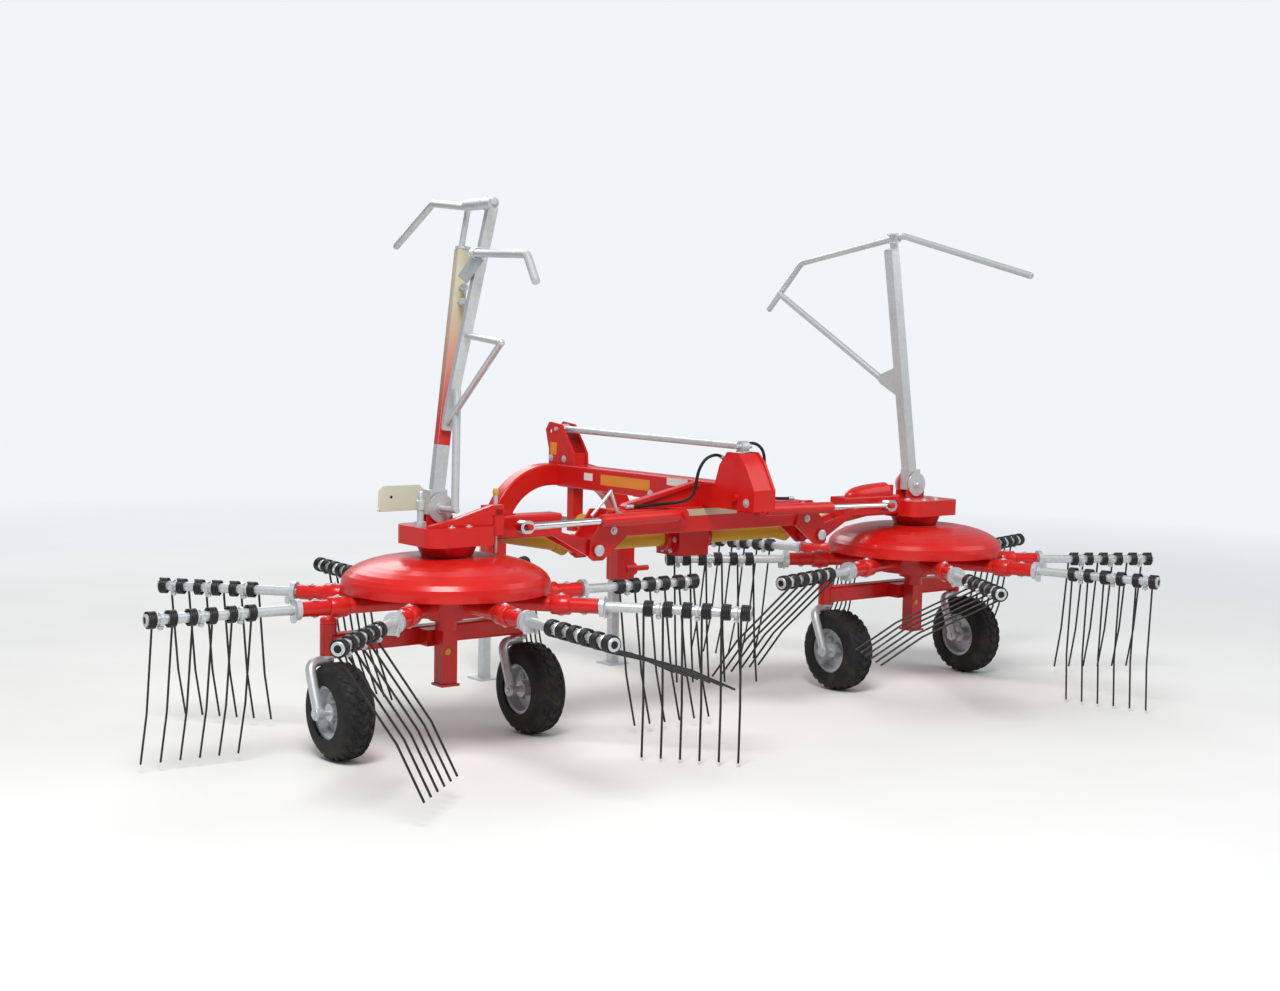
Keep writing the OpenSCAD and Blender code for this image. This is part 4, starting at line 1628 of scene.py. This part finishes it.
@dataclass
class ArmTrim:
    """Bolts and weld of a folding arm and its rotor head.

    The weld runs round a rectangle of two sides and a corner's radius.
    """

    side: Side
    head_w: float = 0.33
    bolt: float = 0.009
    bolt_circle: float = 0.105
    plug: tuple = ((0, 0), (0.016, 0), (0.016, 0.006), (0.012, 0.009),
                   (0, 0.009))
    plug_at: tuple = (-0.02, 0.12)
    weld: tuple = (0.100, 0.075, 0.012)
    weld_r: float = 0.0045
    weld_gap: float = 0.001
    weld_rise: float = 0.036

    def build(self, shop: Workshop) -> None:
        """Makes the arm's trim.

        Args:
            shop: the workshop that makes the pieces.
        """
        body = f"arm_{self.side.letter}"
        shells = [Bolt(self.bolt).shell("Z").at(
                      (SITE.rotor_x + self.bolt_circle * math.cos(a),
                       self.bolt_circle * math.sin(a), SITE.head_top))
                  for a in np.radians(np.arange(22.5, 360, 45))]
        x, y = self.plug_at
        shells.append(revolved(self.plug, 24).at(
            (SITE.rotor_x + x, y, SITE.head_top)))
        shop.piece(f"head_bolts_{self.side.word}",
                   on_side(shells, self.side), Finish.ZINC, body)
        loop = rounded(*self.weld, 10)
        x = SITE.rotor_x - self.head_w / 2 - self.weld_gap
        loop = np.column_stack([np.full(len(loop), x), loop])
        loop = (np.vstack([loop, loop[:1]])
                + (0, 0, SITE.head_z + self.weld_rise))
        bead = tube(loop, self.weld_r, 8, (1, 0, 0.001))
        shop.piece(f"arm_weld_{self.side.word}", on_side([bead], self.side),
                   Finish.RED, body, smooth=60)


@dataclass
class HeadFittings:
    """What stands on a rotor head: rest plate, pins, wedge and hood.

    A profile is pairs of radius and height, and an outline is pairs of X
    and height on the left head. lip and block are a width, a depth and a
    corner's radius. nipple_at counts from the post's middle.
    """

    side: Side
    rest: tuple = ((-1.41, 0.972), (-1.600, 0.972), (-1.614, 0.978),
                   (-1.620, 0.992), (-1.620, 1.050), (-1.612, 1.068),
                   (-1.596, 1.076), (-1.43, 1.076), (-1.41, 1.056))
    rest_y: float = 0.1045
    lip: tuple = (0.19, 0.032, 0.004)
    lip_at: tuple = (-1.515, 0.116, 0.972)
    sheet: float = 0.005
    # The hole is a thin black disc on the plate's face: painted shade.
    hole: tuple = ((0, 0), (0.006, 0), (0.006, 0.001), (0, 0.001))
    hole_at: tuple = (-1.562, 0.0987, 1.030)
    bolt: tuple = ((0, SITE.head_top), (0.024, SITE.head_top),
                   (0.024, 0.938), (0.0135, 0.940), (0.0135, 0.985),
                   (0.019, 0.987), (0.019, 1.022), (0.0115, 1.026),
                   (0.0115, 1.056), (0.009, 1.060), (0, 1.060))
    bolt_at: tuple = (-1.497, -0.02, 0)
    pin: tuple = ((0, 0.800), (0.006, 0.800), (0.0085, 0.806),
                  (0.0085, 1.040), (0, 1.040))
    pin_at: tuple = (-1.178, -0.078, 0)
    knob: tuple = ((0, 1.038), (0.0105, 1.038), (0.0125, 1.042),
                   (0.0125, 1.056), (0.008, 1.064), (0, 1.066))
    wedge: tuple = ((-1.500, SITE.head_top), (-1.200, SITE.head_top),
                    (-1.200, 0.958), (-1.152, 0.958), (-1.152, 0.999),
                    (-1.205, 0.999), (-1.380, 0.950), (-1.500, 0.926))
    wedge_wide: float = 0.032
    wedge_y: float = -0.068
    block: tuple = (0.050, 0.044, 0.006)
    block_high: float = 0.112
    block_at: tuple = (-1.172, -0.078, 0.872)
    soft_edge: float = 0.003
    hood_r: float = 0.048
    hood_from: tuple = (0.875, 0.944)
    hood_run: tuple = (0.262, 0.014)
    nipple: tuple = ((0, 0), (0.014, 0), (0.012, 0.004), (0, 0.005))
    nipple_at: tuple = (-0.012, -0.034, 0.405)

    def left(self, shop: Workshop) -> None:
        """Rest plate, bolt, wedge and locking pin of the left head.

        Args:
            shop: the workshop that makes the pieces.
        """
        rest = plate(self.rest, self.sheet).moved(UPRIGHT,
                                                  (0, self.rest_y, 0))
        lip = plate(rounded(*self.lip), self.sheet).at(self.lip_at)
        shop.piece("guard_rest", [rest, lip], Finish.PALE, "arm_l")
        # A black disc on the rest plate is the hole's painted shade.
        hole = revolved(self.hole, 16, "Y").at(self.hole_at)
        shop.piece("rest_hole", [hole], Finish.RUBBER, "arm_l")
        pins = [revolved(self.bolt, 24).at(self.bolt_at),
                revolved(self.pin, 20).at(self.pin_at)]
        shop.piece("head_pins", pins, Finish.ZINC, "arm_l")
        shop.piece("pin_knob", [revolved(self.knob, 20).at(self.pin_at)],
                   Finish.YELLOW, "arm_l")
        wedge = plate(self.wedge, self.wedge_wide, self.soft_edge).moved(
            UPRIGHT, (0, self.wedge_y, 0))
        block = plate(rounded(*self.block), self.block_high,
                      self.soft_edge).at(self.block_at)
        shop.piece("pin_wedge", [wedge, block], Finish.RED, "arm_l",
                   smooth=30)

    def right(self, shop: Workshop) -> None:
        """Rounded hood on the right arm, beside the head.

        Its radius grows from a blunt nose as the fourth root of an ellipse.

        Args:
            shop: the workshop that makes the pieces.
        """
        t = np.linspace(0.0, 1.0, 15)
        (x, z), (run, rise) = self.hood_from, self.hood_run
        path = np.column_stack([x + run * t, np.zeros(len(t)), z + rise * t])
        radii = self.hood_r * np.sqrt(np.clip(1 - (1 - t) ** 4, 0.01, 1))
        shop.piece("arm_hood", [tube(path, radii, 28, (0.02, 1, 0.05))],
                   Finish.RED, "arm_r", smooth=50)

    def build(self, shop: Workshop) -> None:
        """Makes the side's fittings and the post's grease point.

        Args:
            shop: the workshop that makes the pieces.
        """
        (self.left if self.side is Side.LEFT else self.right)(shop)
        x, y, z = self.nipple_at
        spot = (self.side.value * SITE.rotor_x + x, y, z)
        shop.piece(f"grease_mark_{self.side.word}",
                   [revolved(self.nipple, 20, "Y").moved(BACKWARD, spot)],
                   Finish.YELLOW, f"arm_{self.side.letter}")


@dataclass
class RearTowerTrim:
    """Sheet hood between the tower plates, and the diagonal brace.

    A pair of ridge is a distance forward and a height, and a pair of web
    and flange is X and a height.
    """

    half: float = 0.0495
    sheet: float = 0.004
    ridge: tuple = ((-0.392, 1.037), (-0.331, 1.146), (-0.283, 1.189),
                    (-0.217, 1.189), (-0.170, 1.132), (-0.146, 1.057))
    web: tuple = ((-0.0625, 0.9455), (-0.0625, 1.046), (-0.465, 0.960),
                  (-0.475, 0.9455))
    web_wide: float = 0.012
    web_y: float = -0.010
    flange: tuple = ((-0.0625, 1.043), (-0.0625, 1.055), (-0.470, 0.968),
                     (-0.482, 0.958), (-0.482, 0.9455), (-0.472, 0.9455))
    flange_wide: float = 0.040
    flange_y: float = 0.004

    def build(self, shop: Workshop) -> None:
        """Makes the hood and the brace.

        Args:
            shop: the workshop that makes the pieces.
        """
        over = np.array(self.ridge)
        under = over - (0.0, self.sheet)
        ring = np.vstack([over, under[::-1]])
        sides = [np.column_stack([np.full(len(ring), x), ring])
                 for x in (-self.half, self.half)]
        shop.piece("tower_hood", [grid(np.array(sides), False, True)],
                   Finish.RED, "frame", smooth=20)
        web = plate(self.web, self.web_wide).moved(UPRIGHT,
                                                   (0, self.web_y, 0))
        flange = plate(self.flange, self.flange_wide, 0.002).moved(
            UPRIGHT, (0, self.flange_y, 0))
        shop.piece("tower_brace", [web, flange], Finish.RED, "frame",
                   smooth=20)


@dataclass(frozen=True)
class Lamp:
    """A square area lamp: its place, its power in watts and its width."""

    name: str
    place: tuple
    power: float
    width: float

    def build(self, target: Sequence[float]) -> None:
        """Makes the lamp, aimed at a point.

        Args:
            target: the point that the lamp looks at.
        """
        lamp = bpy.data.lights.new(self.name, "AREA")
        lamp.energy, lamp.size = self.power, self.width
        obj = bpy.data.objects.new(self.name, lamp)
        bpy.context.scene.collection.objects.link(obj)
        obj.location = self.place
        aim = Vector(target) - Vector(self.place)
        obj.rotation_euler = aim.to_track_quat("-Z", "Y").to_euler()


@dataclass
class Studio:
    """Pale floor, soft lamps and the camera.

    The floor's own colours show near the machine, and from the first to the
    second distance in fade they turn into the pale backdrop.
    """

    eye: tuple = (-5.31, -7.46, 0.92)
    yaw: float = 38.0
    pitch: float = -5.0
    roll: float = 1.1
    lens: float = 51.8
    sensor: float = 36.0
    pale: tuple = (0.88, 0.91, 0.95)
    sky: tuple = (0.80, 0.87, 0.95)
    sky_strength: float = 0.42
    floor_colours: tuple = ((0.70, 0.69, 0.66), (0.76, 0.75, 0.72))
    floor_half: float = 60.0
    floor_rough: float = 0.9
    fade: tuple = (2.6, 10.0)
    target: tuple = (0.0, -1.0, -0.2)
    lamps: tuple = (Lamp("key", (-4.5, -5.5, 7.5), 950.0, 3.6),
                    Lamp("fill", (6.5, -6.0, 4.5), 200.0, 6.0),
                    Lamp("back", (1.5, 7.5, 6.0), 380.0, 6.0))

    def floor(self) -> None:
        """A flat pale floor that fades into the backdrop far away."""
        u = np.linspace(-self.floor_half, self.floor_half, 3)
        x, y = np.meshgrid(u, u, indexing="ij")
        flat = grid(np.stack([x, y, np.full_like(x, SITE.ground)], -1))
        mesh = bpy.data.meshes.new("floor")
        mesh.from_pydata(flat.points.tolist(), [], flat.faces)
        obj = bpy.data.objects.new("floor", mesh)
        bpy.context.scene.collection.objects.link(obj)
        g = Graph("pale_floor")
        g.shade(Base_Color=g.mix(g.ramp(g.noise(0.7, detail=4.0), 0.3, 0.7),
                                 *self.floor_colours),
                Roughness=self.floor_rough)
        far = g.add("ShaderNodeVectorMath", operation="LENGTH")
        g.put(g.place, far.inputs[0])
        glow = g.add("ShaderNodeEmission")
        g.put((*self.pale, 1.0), glow.inputs["Color"])
        mix = g.add("ShaderNodeMixShader")
        seen = g.add("ShaderNodeLightPath").outputs["Is Camera Ray"]
        g.put(g.times(g.ramp(far.outputs["Value"], *self.fade), seen),
              mix.inputs[0])
        g.put(g.shader.outputs[0], mix.inputs[1])
        g.put(glow.outputs[0], mix.inputs[2])
        g.put(mix.outputs[0], g.tree.nodes["Material Output"].inputs[0])
        obj.data.materials.append(g.material)

    def world(self) -> None:
        """A soft sky that lights, and the pale backdrop that is seen."""
        world = bpy.data.worlds.new("pale_world")
        bpy.context.scene.world = world
        world.use_nodes = True
        nodes, links = world.node_tree.nodes, world.node_tree.links
        mix = nodes.new("ShaderNodeMixShader")
        path = nodes.new("ShaderNodeLightPath")
        links.new(path.outputs["Is Camera Ray"], mix.inputs[0])
        for slot, node, colour, strength in (
                (1, nodes["Background"], self.sky, self.sky_strength),
                (2, nodes.new("ShaderNodeBackground"), self.pale, 1.0)):
            node.inputs["Color"].default_value = (*colour, 1.0)
            node.inputs["Strength"].default_value = strength
            links.new(node.outputs[0], mix.inputs[slot])
        links.new(mix.outputs[0], nodes["World Output"].inputs[0])

    def camera(self) -> None:
        """The camera at the photograph's place and viewing angle."""
        data = bpy.data.cameras.new("camera")
        data.lens, data.sensor_width = self.lens, self.sensor
        obj = bpy.data.objects.new("camera", data)
        bpy.context.scene.collection.objects.link(obj)
        turn = (Matrix.Rotation(math.radians(-self.yaw), 4, "Z")
                @ Matrix.Rotation(math.radians(90 + self.pitch), 4, "X")
                @ Matrix.Rotation(math.radians(self.roll), 4, "Z"))
        obj.matrix_world = Matrix.Translation(self.eye) @ turn
        bpy.context.scene.camera = obj

    def build(self) -> None:
        """Makes the whole studio."""
        self.floor()
        for lamp in self.lamps:
            lamp.build(self.target)
        self.world()
        self.camera()
        bpy.context.scene.view_settings.view_transform = "Standard"


HOSES = (
    Hose("supply_hose_left", "hose_left", 0.61,
         [(-.04, -.18, 1.16), (-.09, -.18, 1.18), (-.14, -.17, 1.165),
          (-.17, -.16, 1.12), (-.18, -.15, 1.06), (-.185, -.14, 1.01),
          (-.20, -.12, .985), (-.23, -.095, .972), (-.27, -.075, .966),
          (-.32, -.062, .962), (-.40, -.052, .958), (-.48, -.048, .956)]),
    Hose("supply_hose_right", "hose_right", 0.66,
         [(.03, -.20, 1.205), (.08, -.20, 1.228), (.13, -.195, 1.222),
          (.175, -.185, 1.19), (.20, -.17, 1.13), (.21, -.15, 1.06),
          (.225, -.125, 1.01), (.26, -.095, .98), (.31, -.07, .968),
          (.37, -.058, .962), (.43, -.052, .958), (.49, -.048, .956)]),
)


def main() -> None:
    """Builds every piece in order."""
    Studio().build()
    shop = Workshop()
    shop.paint_nodes()
    for hose in HOSES:
        hose.build(shop)
    FrameTrim().build(shop)
    RearTowerTrim().build(shop)
    for side in Side:
        for part in (ArmTrim, HeadFittings, SpringTines, RotorTrim, GuardBow):
            part(side).build(shop)
        for place in Place:
            for part in (Tyre, WheelTrim, CasterFork):
                part(side, place).build(shop)


if __name__ == "__main__":
    main()
